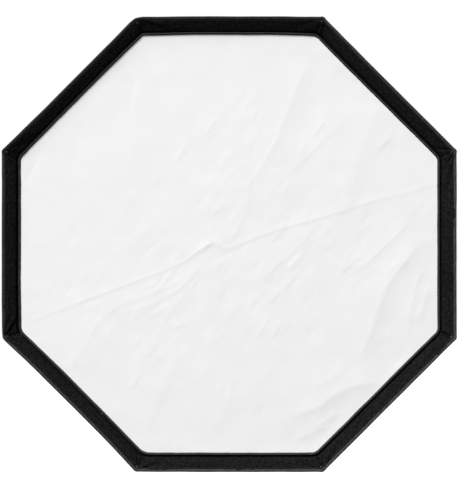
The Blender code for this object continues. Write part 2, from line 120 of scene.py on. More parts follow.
# %% Room
FLOOR_DROP = 0.09             # the box hangs on its light, so the floor is a little way below it
FLOOR_SIZE = 12.0
FLOOR_GLOW = 0.90             # lifts the floor to the white of the backdrop
FLOOR_TONE = 0.14             # low, so that it takes little shadow: the glow is what makes it white
AMBIENT = 0.24


def build_room():
    """A plain pale floor and an even white surround."""
    scene = bpy.context.scene
    scene.view_settings.view_transform = "Standard"
    world = bpy.data.worlds.new("white_room")
    world.use_nodes = True
    scene.world = world
    tree = world.node_tree
    backdrop = tree.nodes["Background"]
    backdrop.inputs["Color"].default_value = (1.0, 1.0, 1.0, 1.0)
    backdrop.inputs["Strength"].default_value = 1.0
    ambient = tree.nodes.new("ShaderNodeBackground")
    ambient.inputs["Color"].default_value = (1.0, 1.0, 1.0, 1.0)
    ambient.inputs["Strength"].default_value = AMBIENT
    ray = tree.nodes.new("ShaderNodeLightPath")
    mix = tree.nodes.new("ShaderNodeMixShader")
    tree.links.new(ray.outputs["Is Camera Ray"], mix.inputs["Fac"])
    tree.links.new(ambient.outputs["Background"], mix.inputs[1])
    tree.links.new(backdrop.outputs["Background"], mix.inputs[2])
    tree.links.new(mix.outputs["Shader"], tree.nodes["World Output"].inputs["Surface"])

    bm = bmesh.new()
    bmesh.ops.create_grid(bm, x_segments=1, y_segments=1, size=FLOOR_SIZE)
    mesh = bpy.data.meshes.new("floor")
    bm.to_mesh(mesh)
    bm.free()
    paint = bpy.data.materials.new("white_floor_paint")
    paint.use_nodes = True
    shader = paint.node_tree.nodes["Principled BSDF"]
    shader.inputs["Base Color"].default_value = (FLOOR_TONE, FLOOR_TONE, FLOOR_TONE, 1.0)
    shader.inputs["Roughness"].default_value = 0.9
    shader.inputs["Specular IOR Level"].default_value = 0.0
    shader.inputs["Emission Color"].default_value = (1.0, 1.0, 1.0, 1.0)
    shader.inputs["Emission Strength"].default_value = FLOOR_GLOW
    mesh.materials.append(paint)
    floor = bpy.data.objects.new("floor", mesh)
    floor.visible_diffuse = False
    floor.location.z = CAD_BOX[0][2] - FLOOR_DROP
    scene.collection.objects.link(floor)
    return floor


floor = build_room()
print("floor at z", round(floor.location.z, 3))

# %% Lights
# Each light: its place in metres, the side of its square in metres, and its power in watts.
LIGHTS = {
    "key_light": ((-13.8, -14.2, 25.0), 11.6, 19600.0),
    "rear_light": ((3.0, 7.0, 4.0), 6.0, 330.0),
}


def add_light(name, place, size, watts):
    """A square soft light that looks at the middle of the box."""
    data = bpy.data.lights.new(name, "AREA")
    data.size = size
    data.energy = watts
    light = bpy.data.objects.new(name, data)
    light.location = place
    aim = Vector((0.0, FRONT_Y / 2, 0.0)) - Vector(place)
    light.rotation_euler = aim.to_track_quat("-Z", "Y").to_euler()
    bpy.context.scene.collection.objects.link(light)
    return light


for light_name, (place, size, watts) in LIGHTS.items():
    print(add_light(light_name, place, size, watts).name, watts, "W")


# %% [markdown]
# ## Materials
#
# A material is a small tree of nodes round one Principled shader. One helper adds any node with its
# settings, values and links, and one turns a hex colour into the linear light that the shader wants.

# %% Node helpers
def linear(hex_colour):
    """Turn an sRGB hex colour into linear red, green, blue and alpha."""
    channels = [int(hex_colour[i:i + 2], 16) / 255 for i in (1, 3, 5)]
    turned = [c / 12.92 if c <= 0.04045 else ((c + 0.055) / 1.055) ** 2.4 for c in channels]
    return (*turned, 1.0)


def add_node(tree, kind, settings=None, values=None, links=None):
    """Add a node, set its attributes and input values, and link its inputs to other outputs."""
    node = tree.nodes.new(kind)
    for name, value in (settings or {}).items():
        setattr(node, name, value)
    for name, value in (values or {}).items():
        node.inputs[name].default_value = value
    for name, socket in (links or {}).items():
        tree.links.new(socket, node.inputs[name])
    return node


def start_material(name, values):
    """Make a material and set its shader's own sockets. Return it with its tree and shader."""
    material = bpy.data.materials.new(name)
    material.use_nodes = True
    tree = material.node_tree
    shader = tree.nodes["Principled BSDF"]
    for socket, value in values.items():
        shader.inputs[socket].default_value = value
    return material, tree, shader


# %% [markdown]
# ### Cloth
#
# All the cloth shares two patterns. The weave is two sets of waves that cross, one for each way of the
# threads. The mottle is broad soft noise, because dyed cloth never takes the dye quite evenly. The
# threads are really 0.3 to 0.5 mm apart, too fine to show at this distance, so they are drawn 1.6 to
# 2.4 mm apart, which is three to eight times as coarse.

# %% Cloth patterns
WAVE_PERIOD = 0.314           # a wave texture at scale 1 repeats every 0.314 units


def weave_height(tree, place, pitch):
    """Return a socket with the height of a plain weave, on coordinates in metres."""
    sets = []
    for direction in ("X", "Y"):
        wave = add_node(tree, "ShaderNodeTexWave",
                        {"wave_type": "BANDS", "bands_direction": direction},
                        {"Scale": WAVE_PERIOD / pitch, "Distortion": 0.4, "Detail": 1.0},
                        {"Vector": place})
        sets.append(wave.outputs["Fac"])
    crossed = add_node(tree, "ShaderNodeMath", {"operation": "MULTIPLY"})
    tree.links.new(sets[0], crossed.inputs[0])
    tree.links.new(sets[1], crossed.inputs[1])
    return crossed.outputs["Value"]


def mottle_colour(tree, place, size, dark, light):
    """Return a socket with a colour that drifts between two hex colours over about the given size."""
    drift = add_node(tree, "ShaderNodeTexNoise", None,
                     {"Scale": 1 / size, "Detail": 4.0, "Roughness": 0.6}, {"Vector": place})
    ramp = add_node(tree, "ShaderNodeValToRGB", None, None, {"Fac": drift.outputs["Fac"]})
    ramp.color_ramp.elements[0].position = 0.3
    ramp.color_ramp.elements[0].color = linear(dark)
    ramp.color_ramp.elements[1].position = 0.7
    ramp.color_ramp.elements[1].color = linear(light)
    return ramp.outputs["Color"]


def add_bump(tree, shader, heights):
    """Stack bumps on a shader from (height socket, distance in metres) pairs."""
    normal = None
    for height, distance in heights:
        links = {"Height": height}
        if normal is not None:
            links["Normal"] = normal
        bump = add_node(tree, "ShaderNodeBump", None, {"Strength": 1.0, "Distance": distance}, links)
        normal = bump.outputs["Normal"]
    tree.links.new(normal, shader.inputs["Normal"])


def grain_height(tree, place, size):
    """Return a socket with fine noise of about the given size, for fuzz and grain."""
    grain = add_node(tree, "ShaderNodeTexNoise", None,
                     {"Scale": 1 / size, "Detail": 3.0, "Roughness": 0.7}, {"Vector": place})
    return grain.outputs["Fac"]


def shaded_by(tree, colour, attribute):
    """Multiply a colour by one of the mesh's attributes."""
    shade = add_node(tree, "ShaderNodeAttribute", {"attribute_name": attribute})
    product = add_node(tree, "ShaderNodeVectorMath", {"operation": "SCALE"}, None,
                       {"Vector": colour, "Scale": shade.outputs["Fac"]})
    return product.outputs["Vector"]


def cloth_material(name, dark, light, pitch, mottle, sheen, gloss, fuzz=0.0003, painted_shade_and_pile=None):
    """Woven cloth on the piece's own map, whose units are metres. The last argument names a mesh attribute of
    painted shade that multiplies the colour.
    """
    material, tree, shader = start_material(name, {
        "Roughness": 0.9, "Sheen Weight": sheen, "Sheen Roughness": 0.5, "Specular IOR Level": gloss})
    place = add_node(tree, "ShaderNodeUVMap").outputs["UV"]
    colour = mottle_colour(tree, place, mottle, dark, light)
    if painted_shade_and_pile:
        colour = shaded_by(tree, colour, painted_shade_and_pile)
    tree.links.new(colour, shader.inputs["Base Color"])
    add_bump(tree, shader, [(weave_height(tree, place, pitch), 0.00025),
                            (grain_height(tree, place, 0.004), fuzz)])
    return material


# %% [markdown]
# The shell is black polyester, woven from fine filaments and coated inside: deep black and matt, with a
# faint sheen along its folds. The lip is a brushed loop cloth that hooks can hold, so it is softer and
# drinks more light. The rolled edges are a dark grey tape that catches the light as a thin line.

# %% Cloth materials
# Plain woven polyester, filament yarn: deep black, matt, a faint lift where it turns away.
shell_cloth = cloth_material("black_woven_polyester", "#222225", "#2e2e32", 2.4 * MM, 0.09, 0.08, 0.25)
# Brushed loop cloth, knitted then raised: a soft uneven pile that swallows light. The lip's mesh adds painted
# shade to its colour.
lip_cloth = cloth_material("black_brushed_loop_cloth", "#0a0a0a", "#222222", 2.2 * MM, 0.006, 0.0, 0.0,
                           0.0009, "painted_shade_and_pile")
# Woven polyester tape, folded over an edge: a thin dark grey line, a little lighter than the lip.
edge_tape = cloth_material("grey_polyester_edge_tape", "#303030", "#3c3c3c", 2.4 * MM, 0.015, 0.0, 0.0)
# The shell's own cloth, folded and pressed into a hem: the fold scuffs to a paler grey.
hem_cloth = cloth_material("black_hem_polyester", "#303030", "#434343", 2.4 * MM, 0.012, 0.0, 0.0)
# Nylon webbing, woven thick: coarse ribs that wear a little pale.
webbing = cloth_material("black_nylon_webbing", "#2a2a2a", "#3c3c3c", 2.2 * MM, 0.006, 0.0, 0.3)
# Knitted elastic over rubber: off-white, ribbed, quite matt.
elastic_web = cloth_material("white_ribbed_elastic", "#b9b9b7", "#d2d2d0", 1.6 * MM, 0.01, 0.0, 0.3)
print("cloth materials made")


# %% [markdown]
# The diffuser is white nylon, light and slightly silky, and nearly white in the light. Its creases are
# in the mesh. The material only adds the silk of the weave. Real nylon lets light through, but this
# material is opaque, so the cloth's back looks grey when the diffuser is off.

# %% White cloth and lining
def white_cloth(name, dark, light):
    """White woven nylon, opaque."""
    material, tree, shader = start_material(name, {
        "Roughness": 0.75, "Sheen Weight": 0.1, "Specular IOR Level": 0.3})
    place = add_node(tree, "ShaderNodeUVMap").outputs["UV"]
    colour = mottle_colour(tree, place, 0.05, dark, light)
    tree.links.new(colour, shader.inputs["Base Color"])
    add_bump(tree, shader, [(weave_height(tree, place, 2.2 * MM), 0.00003),
                            (grain_height(tree, place, 0.006), 0.00002)])
    return material


def silver_lining():
    """Silver-coated lining: a fine pebble emboss scatters the flash without a mirror image."""
    material, tree, shader = start_material("silver_coated_lining", {"Metallic": 1.0, "Roughness": 0.38})
    place = add_node(tree, "ShaderNodeUVMap").outputs["UV"]
    colour = mottle_colour(tree, place, 0.03, "#b4b6b8", "#cfd1d3")
    tree.links.new(colour, shader.inputs["Base Color"])
    pebble = add_node(tree, "ShaderNodeTexVoronoi", None, {"Scale": 1 / (3.0 * MM)}, {"Vector": place})
    add_bump(tree, shader, [(pebble.outputs["Distance"], 0.0005)])
    return material


# Light nylon, plain woven: an even white whose creases show only by their shade.
diffuser_cloth = white_cloth("white_diffuser_nylon", "#e7e7e7", "#e9e9e9")
# A thinner white nylon, drawn slightly greyer than the front cloth.
baffle_cloth = white_cloth("white_baffle_nylon", "#dcdcdc", "#e4e4e4")
lining = silver_lining()
print("white cloth and lining made")


# %% [markdown]
# ## Building cloth by lofting
#
# Most pieces here are strips that run round the octagon or along a rod. Each is built as a row of loops,
# joined with quads. The map that carries the weave is laid down with the loops, in metres, so the
# threads keep their size whatever the piece's shape.

# %% Loft helper
def measured(points, closed):
    """Return the distance run along a row of points, one value more than there are points if closed."""
    row = np.vstack([points, points[:1]]) if closed else points
    return np.concatenate([[0.0], np.cumsum(np.linalg.norm(np.diff(row, axis=0), axis=1))])


def loft(name, loops, materials, path_closed=True, section_closed=True, slot_of=None):
    """Join loops of equal length, each an array of points, into a mesh with a map in metres.

    The loops are the lines along the piece. Where the section is closed, the last loop meets the first.
    slot_of gives the material slot for a strip between two loops.
    """
    loops = [np.asarray(loop, float) for loop in loops]
    rows, columns = len(loops), len(loops[0])
    vertices = np.vstack(loops)
    longest = max(range(rows), key=lambda r: measured(loops[r], path_closed)[-1])
    along = measured(loops[longest], path_closed)
    across = measured(np.array([loop.mean(axis=0) if not path_closed else loop[0] for loop in loops]), True)
    faces, marks, slots = [], [], []
    for r in range(rows if section_closed else rows - 1):
        after = (r + 1) % rows
        for c in range(columns if path_closed else columns - 1):
            right = (c + 1) % columns
            faces.append((r * columns + c, r * columns + right, after * columns + right, after * columns + c))
            marks.append([(along[c], across[r]), (along[c + 1], across[r]),
                          (along[c + 1], across[r + 1]), (along[c], across[r + 1])])
            slots.append(slot_of(r) if slot_of else 0)
    if not path_closed and section_closed:
        for c in (0, columns - 1):
            faces.append(tuple(r * columns + c for r in range(rows)))
            marks.append([(along[c], across[r]) for r in range(rows)])
            slots.append(0)
    return make_piece(name, vertices, faces, marks, materials, slots)


def make_piece(name, vertices, faces, marks, materials, slots):
    """Make a smooth mesh object with faces pointing out, one map and its materials."""
    mesh = bpy.data.meshes.new(name)
    mesh.from_pydata([tuple(v) for v in vertices], [], faces)
    layer = mesh.uv_layers.new(name="cloth_map")
    flat = [mark for face_marks in marks for mark in face_marks]
    layer.data.foreach_set("uv", np.array(flat, float).ravel())
    for material in materials:
        mesh.materials.append(material)
    mesh.polygons.foreach_set("material_index", slots)
    bm = bmesh.new()
    bm.from_mesh(mesh)
    bmesh.ops.recalc_face_normals(bm, faces=bm.faces[:])
    bm.to_mesh(mesh)
    bm.free()
    mesh.shade_smooth()
    mesh.update()
    piece = bpy.data.objects.new(name, mesh)
    bpy.context.scene.collection.objects.link(piece)
    return piece


def count(piece):
    """Say how big a piece's mesh is."""
    print(piece.name, len(piece.data.polygons), "faces")
    return piece


# %% [markdown]
# The octagon itself is one function. For a given apothem and corner radius it returns points that walk
# round the rim, with many along each side so that cloth can ripple. It also says where each point is on
# its side and how far it lies from the nearest corner, because folds gather at corners.

# %% Octagon path
ARC_STEPS = 10
SIDE_STEPS = 150
EVENNESS = 0.25               # 1 spaces the points of a side evenly, and less crowds them at its corners


class Path:
    """A walk round the octagon: points in the XZ plane, the way out, and the distance to a corner.

    The corners' radius is one number, or one for each corner, from the right-hand upper one round.
    """

    def __init__(self, apothem, corner_radius, arc_steps=ARC_STEPS, side_steps=SIDE_STEPS):
        radii = np.broadcast_to(corner_radius, SIDES)
        spots, ways = [], []
        for k, corner in enumerate(CORNERS):
            middle = corner - HALF
            first = -(apothem - radii[k - 1]) * math.tan(HALF)
            last = (apothem - radii[k]) * math.tan(HALF)
            for i in range(side_steps):
                even = i / side_steps
                crowded = 0.5 - 0.5 * math.cos(math.pi * even)
                reach = first + (last - first) * (EVENNESS * even + (1 - EVENNESS) * crowded)
                spots.append((apothem * math.cos(middle) - reach * math.sin(middle),
                              apothem * math.sin(middle) + reach * math.cos(middle)))
                ways.append(middle)
            centre = (apothem - radii[k]) / math.cos(HALF)
            for i in range(arc_steps):
                way = middle + STEP * i / arc_steps
                spots.append((centre * math.cos(corner) + radii[k] * math.cos(way),
                              centre * math.sin(corner) + radii[k] * math.sin(way)))
                ways.append(way)
        self.spots = np.array(spots)
        self.ways = np.array(ways)
        self.out = np.column_stack([np.cos(self.ways), np.sin(self.ways)])
        self.angle = np.arctan2(self.spots[:, 1], self.spots[:, 0])
        nearest = np.round((self.angle - HALF) / STEP)
        distance = np.linalg.norm(self.spots, axis=1)
        self.from_corner = distance * np.sin(self.angle - nearest * STEP - HALF)
        self.corner = nearest.astype(int) % SIDES
        self.run = measured(self.spots, False)

    def line(self, y, push=0.0):
        """Return the path's points in space, at y (a number or one for each point), pushed outwards."""
        flat = self.spots + self.out * np.broadcast_to(push, len(self.spots))[:, None]
        return np.column_stack([flat[:, 0], np.broadcast_to(y, len(flat)), flat[:, 1]])


def ripple(path, size, seed, depth=3):
    """Smooth noise round the octagon, about -1 to 1, with bumps of about the given size in metres."""
    places = [Vector((x / size, z / size, seed)) for x, z in path.spots]
    return np.array([noise.fractal(p, 0.6, 2.0, depth) for p in places])


print("points round the rim", len(Path(RIM, 0.01).spots))

# %% [markdown]
# ## The rim
#
# The lip is a strip of loop cloth that runs from the rim's edge back to the diffuser. It is sewn over
# soft tape, so it is slightly puffed, with a hem along its outside and a gutter along its inside
# where the diffuser tucks in. At each corner the strip is mitred: the spare cloth makes a fold from
# the outer corner to the inner one, with smaller folds fanning from it. All this is a height added to
# the flat strip.

# %% Lip
HEM_WIDTH = 0.0065
HEM_ROLL = 0.0024
GUTTER_DEPTH = 0.0040
LIP_BACK = 0.0060
LIP_END = BINDING_OUTER + 0.0030
OUTER_CORNERS = np.array([6, 6, 40, 12, 24, 13, 11, 11]) * MM
BINDING_CORNERS = np.array([20, 22, 12, 18, 24, 34, 26, 20]) * MM
LIP_RECESS = BINDING_FRONT_Y - FRONT_Y
FOLD_WAYS = (13, 27, 42, 58, 74)      # ways of the folds that fan from a corner, in degrees
FAN_SPREAD = 7.5                      # half width of such a fold, in degrees
FAN_HEIGHT = 0.0028
FAN_REACH = 0.055                     # how far from the corner the folds die out
MITRE_DEPTH = 0.0014
rng = np.random.default_rng(8)
FOLD_SIZES = rng.uniform(-1.0, 1.0, (SIDES, 2, len(FOLD_WAYS)))
FOLD_TURNS = rng.uniform(-5.0, 5.0, (SIDES, 2, len(FOLD_WAYS)))


RIM_PROUD = 0.0012            # how far the whole rim stands out
RIM_SHIFTS = {90: 1.5, 135: -1.2, 225: -4.2}       # millimetres outwards, by the way a side faces
EDGE_SHIFTS = {90: 3.7, 135: 2.4, 180: 0.5, 225: -3.0}
EDGE_DRAW = 0.0016            # how far the whole of the diffuser's edge is drawn in


def side_shift(angle, shifts):
    """Smooth bumps, one on each side that the table names, as an outward distance in metres."""
    total = np.zeros(len(angle))
    for degrees, size in shifts.items():
        gap = np.mod(angle - math.radians(degrees) + math.pi, 2 * math.pi) - math.pi
        total += size * MM * np.exp(-(gap / 0.36) ** 4)
    return total


def side_inset(path):
    """How far the rim's edge moves out. No sewn side is quite true: the lower left one is pulled in most."""
    return RIM_PROUD + side_shift(path.angle, RIM_SHIFTS) + 0.0004 * ripple(path, 0.08, 4.0)


def corner_folds(path, inside):
    """Height of the folds that fan from each outer corner, at a distance inside the edge."""
    along = np.abs(path.from_corner)
    reach = np.hypot(along, inside)
    way = np.degrees(np.arctan2(inside, along))
    side = (path.from_corner > 0).astype(int)
    height = np.zeros(len(along))
    for i, middle in enumerate(FOLD_WAYS):
        turned = middle + FOLD_TURNS[path.corner, side, i]
        height += FOLD_SIZES[path.corner, side, i] * np.exp(-((way - turned) / FAN_SPREAD) ** 2)
    fade = (1 - np.exp(-(reach / 0.007) ** 2)) * np.exp(-(reach / FAN_REACH) ** 2)
    groove = np.exp(-(path.from_corner / 0.0013) ** 2) * min(1.0, inside / 0.004)
    return FAN_HEIGHT * height * fade - MITRE_DEPTH * groove


def streaks(path, share, size, seed):
    """Long faint ridges that run along a strip, as cloth has where it is pulled lengthways."""
    return np.array([noise.noise(Vector((run / size, share * 7, seed))) for run in path.run])


def lip_path(share):
    """The path round the lip at a share of its width, from the outer edge, 0, to the inner one, 1."""
    apothem = LIP_OUTER + (LIP_END - LIP_OUTER) * share
    return Path(apothem, OUTER_CORNERS + (BINDING_CORNERS + 0.003 - OUTER_CORNERS) * share)


def build_lip():
    """Loop-cloth lip with its puffed middle, gutter and mitred corners, and painted shade in its colour."""
    width = LIP_OUTER - LIP_END
    loops, painted_shade_and_pile = [], []
    across = 34
    for i in range(across + 1):
        share = i / across
        path = lip_path(share)
        puff = 0.0011 * math.sin(math.pi * min(1.0, share * 1.05)) ** 0.6
        gutter = GUTTER_DEPTH * math.exp(-((share - 1.0) / 0.085) ** 2)
        cloth = 0.0005 * ripple(path, 0.035, 1.0) + 0.0003 * ripple(path, 0.007, 2.0)
        cloth = cloth + 0.00035 * streaks(path, share, 0.05, 9.0)
        folds = corner_folds(path, width * share + 0.002)
        y = FRONT_Y + LIP_RECESS * share - puff + gutter - cloth - folds + 0.0012
        loops.append(path.line(y, side_inset(path) * (1 - 0.5 * share)))
        # Painted shade: these values multiply the lip's colour. They darken it in the gutter along the inner
        # edge and along each corner's mitre crease, and lighten it near the outer edge. The streaks add a
        # random tone along the strip.
        shade = 1 - 0.9 * math.exp(-((1 - share) / 0.09) ** 2) + 0.5 * math.exp(-(share / 0.16) ** 2)
        crease = 0.6 * np.exp(-(path.from_corner / 0.0018) ** 2)
        painted_shade_and_pile.append(shade * (1 - crease) * (1 + 0.25 * streaks(path, share, 0.08, 19.0)))
    # The hidden back of the lip gets half its colour, as painted shade.
    for share in (1.0, 0.5, 0.0):
        path = lip_path(share)
        push = side_inset(path) * (1 - 0.5 * share) - 0.001
        loops.append(path.line(FRONT_Y + LIP_RECESS * share + LIP_BACK, push))
        painted_shade_and_pile.append(np.full(len(path.run), 0.5))
    lip = loft("rim_lip", loops, [lip_cloth])
    tone = lip.data.attributes.new("painted_shade_and_pile", "FLOAT", "POINT")
    tone.data.foreach_set("value", np.clip(np.concatenate(painted_shade_and_pile), 0.05, 2.0))
    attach(lip, "softbox")
    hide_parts("rim_band")
    return count(lip)


lip = build_lip()


# %% [markdown]
# The rim's outside is a folded hem, stitched to the shell. It is a rounded strip that wraps the edge and
# shows as a slightly lighter line all round. A closed section, swept round the octagon, makes it.

# %% Hem
def build_hem():
    """Folded hem that wraps the rim's outer edge."""
    section = []
    steps = 14
    for i in range(steps):
        angle = 2 * math.pi * i / steps
        outside = math.cos(angle) > 0
        reach = math.cos(angle) * (HEM_ROLL if outside else HEM_WIDTH - HEM_ROLL)
        section.append((reach, math.sin(angle) * (0.0026 if outside else 0.0016)))
    loops = []
    for reach, rise in section:
        path = Path(RIM - HEM_ROLL + reach, np.maximum(OUTER_CORNERS + reach, 0.002))
        wave = 0.0004 * ripple(path, 0.03, 7.0)
        swell = np.exp(-(path.from_corner / 0.005) ** 2)
        y = FRONT_Y + 0.0022 + rise * (1 + 0.5 * swell) + wave - 0.0008 * swell
        loops.append(path.line(y, side_inset(path) + 0.0008 * swell))
    hem = loft("rim_hem", loops, [hem_cloth])
    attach(hem, "softbox")
    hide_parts("rim_piping")
    return count(hem)


hem = build_hem()


# %% [markdown]
# The diffuser's edge is a strip of tape rolled over the cloth and sewn. It is a soft tube, a little
# flattened, never quite straight: it wanders in and out by about half a millimetre, four of its sides
# sit up to a few millimetres out of true, and its corners are not all equally round.

# %% Diffuser binding
BINDING_HALF = 0.0024
BINDING_TILT = 0.5            # the strip lies back with the lip, outer edge forward
BINDING_MIDDLE = BINDING_OUTER + 0.0012


def binding_wander(path):
    """How far the binding strays from its line."""
    wander = 0.0006 * ripple(path, 0.11, 11.0) + 0.0002 * ripple(path, 0.02, 12.0)
    return wander + side_shift(path.angle, EDGE_SHIFTS) - EDGE_DRAW


def build_binding():
    """Rolled edge of the diffuser."""
    loops = []
    steps = 14
    for i in range(steps):
        angle = 2 * math.pi * i / steps
        reach = BINDING_HALF * math.cos(angle)
        rise = 0.0013 * math.sin(angle) - BINDING_TILT * reach
        path = Path(BINDING_MIDDLE + reach, BINDING_CORNERS + reach)
        loops.append(path.line(BINDING_FRONT_Y + 0.0012 + rise, binding_wander(path)))
    binding = loft("diffuser_edge", loops, [edge_tape])
    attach(binding, "front_diffuser")
    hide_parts("diffuser_binding")
    return count(binding)


binding = build_binding()

# %% [markdown]
# ## The front diffuser
#
# The diffuser spends its life folded in a bag, so it carries creases: one long fold from lower left to
# upper right, shorter ones that branch from it, and soft pulls where the edge tape gathers the cloth. A
# fold line is a row of points and a height. The cloth rises and falls across each line, sharply near
# it and gently further away. The folds fade out at the edge, where the tape holds the cloth flat.

# %% Fold lines
# Each fold: points (x, z) in metres from the optical axis, height in millimetres, width in millimetres.
FOLDS = [
    ([(-0.520, -0.200), (-0.250, -0.097), (-0.114, -0.045), (-0.061, -0.011), (-0.034, 0.001),
      (-0.005, -0.009), (0.022, 0.001), (0.091, 0.028), (0.190, 0.056), (0.288, 0.087),
      (0.403, 0.118), (0.500, 0.148)], 0.28, 2.2),
    ([(-0.088, -0.034), (-0.055, -0.006), (-0.028, 0.006), (-0.002, -0.008)], 0.35, 4.0),
    ([(-0.004, -0.004), (0.010, 0.018), (0.034, 0.075), (0.046, 0.130)], 0.35, 6.0),
    ([(0.186, 0.411), (0.148, 0.342), (0.106, 0.238), (0.072, 0.170), (0.050, 0.130)], 0.72, 9.0),
    ([(0.290, 0.320), (0.215, 0.235), (0.130, 0.155), (0.070, 0.085)], 0.24, 5.0),
    ([(0.305, 0.300), (0.318, 0.250), (0.345, 0.200)], 0.55, 9.0),
    ([(0.190, 0.045), (0.150, 0.000), (0.108, -0.035), (0.050, -0.090)], 0.30, 5.0),
    ([(0.172, 0.046), (0.150, -0.020), (0.128, -0.065)], 0.14, 4.0),
    ([(0.385, 0.054), (0.347, 0.018), (0.305, -0.024), (0.252, -0.066)], 0.55, 6.0),
    ([(0.416, 0.026), (0.368, -0.038), (0.332, -0.087), (0.305, -0.160), (0.290, -0.202),
      (0.263, -0.254)], 1.25, 11.0),
    ([(0.410, -0.045), (0.389, -0.097), (0.374, -0.181)], 0.45, 5.0),
    ([(0.420, -0.087), (0.395, -0.170)], 0.40, 5.0),
    ([(0.257, -0.248), (0.232, -0.269), (0.200, -0.288), (0.148, -0.310)], 0.40, 9.0),
    ([(0.320, -0.290), (0.262, -0.298), (0.212, -0.322), (0.186, -0.342), (0.120, -0.362)], 1.05, 9.0),
    ([(0.232, -0.352), (0.169, -0.390)], 0.40, 5.0),
    ([(0.211, -0.380), (0.137, -0.411)], 0.40, 5.0),
    ([(-0.040, -0.022), (-0.090, -0.080), (-0.150, -0.118), (-0.240, -0.150)], 0.34, 4.0),
    ([(-0.070, -0.050), (-0.120, -0.085), (-0.230, -0.128), (-0.300, -0.190)], 0.30, 5.0),
    ([(-0.030, -0.040), (-0.090, -0.100), (-0.130, -0.150), (-0.150, -0.190)], 0.28, 5.0),
    ([(-0.270, -0.150), (-0.300, -0.210), (-0.345, -0.270)], 0.45, 8.0),
    ([(-0.010, -0.050), (-0.035, -0.180), (-0.060, -0.330)], 0.45, 22.0),
    ([(-0.240, -0.170), (-0.310, -0.270)], 0.40, 14.0),
    ([(-0.200, 0.359), (-0.210, 0.263)], -0.35, 4.0),
    ([(-0.319, 0.263), (-0.321, 0.190), (-0.338, 0.156)], -0.35, 7.0),
    ([(-0.392, 0.200), (-0.419, 0.146), (-0.428, 0.127)], -0.35, 5.0),
    ([(0.310, 0.290), (0.262, 0.150), (0.240, 0.060)], 0.55, 20.0),
    ([(0.120, -0.130), (0.100, -0.240)], 0.25, 14.0),
    ([(-0.120, -0.280), (-0.190, -0.400)], 0.35, 9.0),
    ([(0.020, -0.300), (-0.060, -0.420)], 0.35, 9.0),
    ([(0.060, 0.400), (0.000, 0.300), (-0.060, 0.220)], 0.10, 9.0),
]
WRINKLES = 190
CLUSTERS = [((-0.13, -0.10), 38), ((0.16, -0.05), 52), ((0.02, 0.14), 55), ((-0.05, -0.27), 62)]
CLUSTER_SHARES = (0.36, 0.30, 0.16, 0.18)
wrinkle_rng = np.random.default_rng(31)


def small_wrinkles():
    """Short wrinkles that lie mostly one way, up and to the right, as a bag leaves them."""
    folds = []
    for _ in range(WRINKLES):
        heart, lean = CLUSTERS[wrinkle_rng.choice(len(CLUSTERS), p=CLUSTER_SHARES)]
        start = np.array(heart) + wrinkle_rng.normal(0.0, (0.11, 0.08))
        way = math.radians(wrinkle_rng.normal(lean, 10))
        length = wrinkle_rng.uniform(0.02, 0.06)
        bend = wrinkle_rng.uniform(-0.15, 0.15)
        middle = start + length / 2 * np.array([math.cos(way), math.sin(way)])
        end = start + length * np.array([math.cos(way + bend), math.sin(way + bend)])
        height = wrinkle_rng.uniform(0.09, 0.25) * wrinkle_rng.choice((-0.7, 1))
        folds.append(([tuple(start), tuple(middle), tuple(end)], height, wrinkle_rng.uniform(2.0, 4.0)))
    return folds


def smooth_line(points, steps=12):
    """Return a smooth curve through a few points, by Catmull and Rom's rule."""
    before = 2 * np.array(points[0]) - points[1]
    after = 2 * np.array(points[-1]) - points[-2]
    row = [before, *map(np.array, points), after]
    curve = []
    for a, b, c, d in zip(row, row[1:], row[2:], row[3:]):
        for t in np.arange(steps) / steps:
            curve.append(0.5 * (2 * b + (c - a) * t + (2 * a - 5 * b + 4 * c - d) * t * t
                                + (3 * b - a - 3 * c + d) * t ** 3))
    curve.append(np.array(points[-1], float))
    return np.array(curve)


UPHILL = np.array([-0.6, 0.8])     # the way the cloth is pulled
GENTLE = 2.4                       # how much wider a fold is on its upper side


def fold_height(all_places, points, height, width):
    """Height of one fold at the given places.

    A fold has a sharp top, fades towards its ends, and is steeper below, because it hangs from above.
    """
    curve = smooth_line(points)
    run = measured(curve, False)
    margin = 7 * GENTLE * width * MM
    low, high = curve.min(axis=0) - margin, curve.max(axis=0) + margin
    near = ((all_places > low) & (all_places < high)).all(axis=1)
    places = all_places[near]
    best = np.full(len(places), 1e9)
    share = np.zeros(len(places))
    above = np.zeros(len(places), bool)
    for i, (a, b) in enumerate(zip(curve, curve[1:])):
        way = b - a
        t = np.clip(((places - a) @ way) / (way @ way), 0, 1)
        offset = places - (a + t[:, None] * way)
        gap = np.linalg.norm(offset, axis=1)
        closer = gap < best
        best[closer] = gap[closer]
        share[closer] = ((run[i] + t * (run[i + 1] - run[i])) / run[-1])[closer]
        above[closer] = (offset @ UPHILL > 0)[closer]
    ends = np.clip(np.minimum(share, 1 - share) / 0.22, 0, 1) ** 0.8
    spread = np.where(above, GENTLE, 1.0) * width * MM
    crease = np.exp(-best / spread) * 0.6 + np.exp(-(best / (2.2 * spread)) ** 2) * 0.4
    total = np.zeros(len(all_places))
    total[near] = height * MM * ends * crease
    return total


ALL_FOLDS = FOLDS + small_wrinkles()
print(len(ALL_FOLDS), "folds")


# %% Diffuser cloth
GRID = 230
REFINE_WIDTH = 7.0            # folds narrower than this, in millimetres, get a finer mesh
SHEET_APOTHEM = CLOTH_APOTHEM + 0.0048
CLOTH_Y = BINDING_FRONT_Y + 0.0024
PULL_WAY = 58                 # degrees above level
STREAK_LENGTH = 0.14
STREAK_WIDTH = 0.022
STREAK_HEIGHT = 0.00007
BILLOW = 0.0005               # height of the broad soft waves


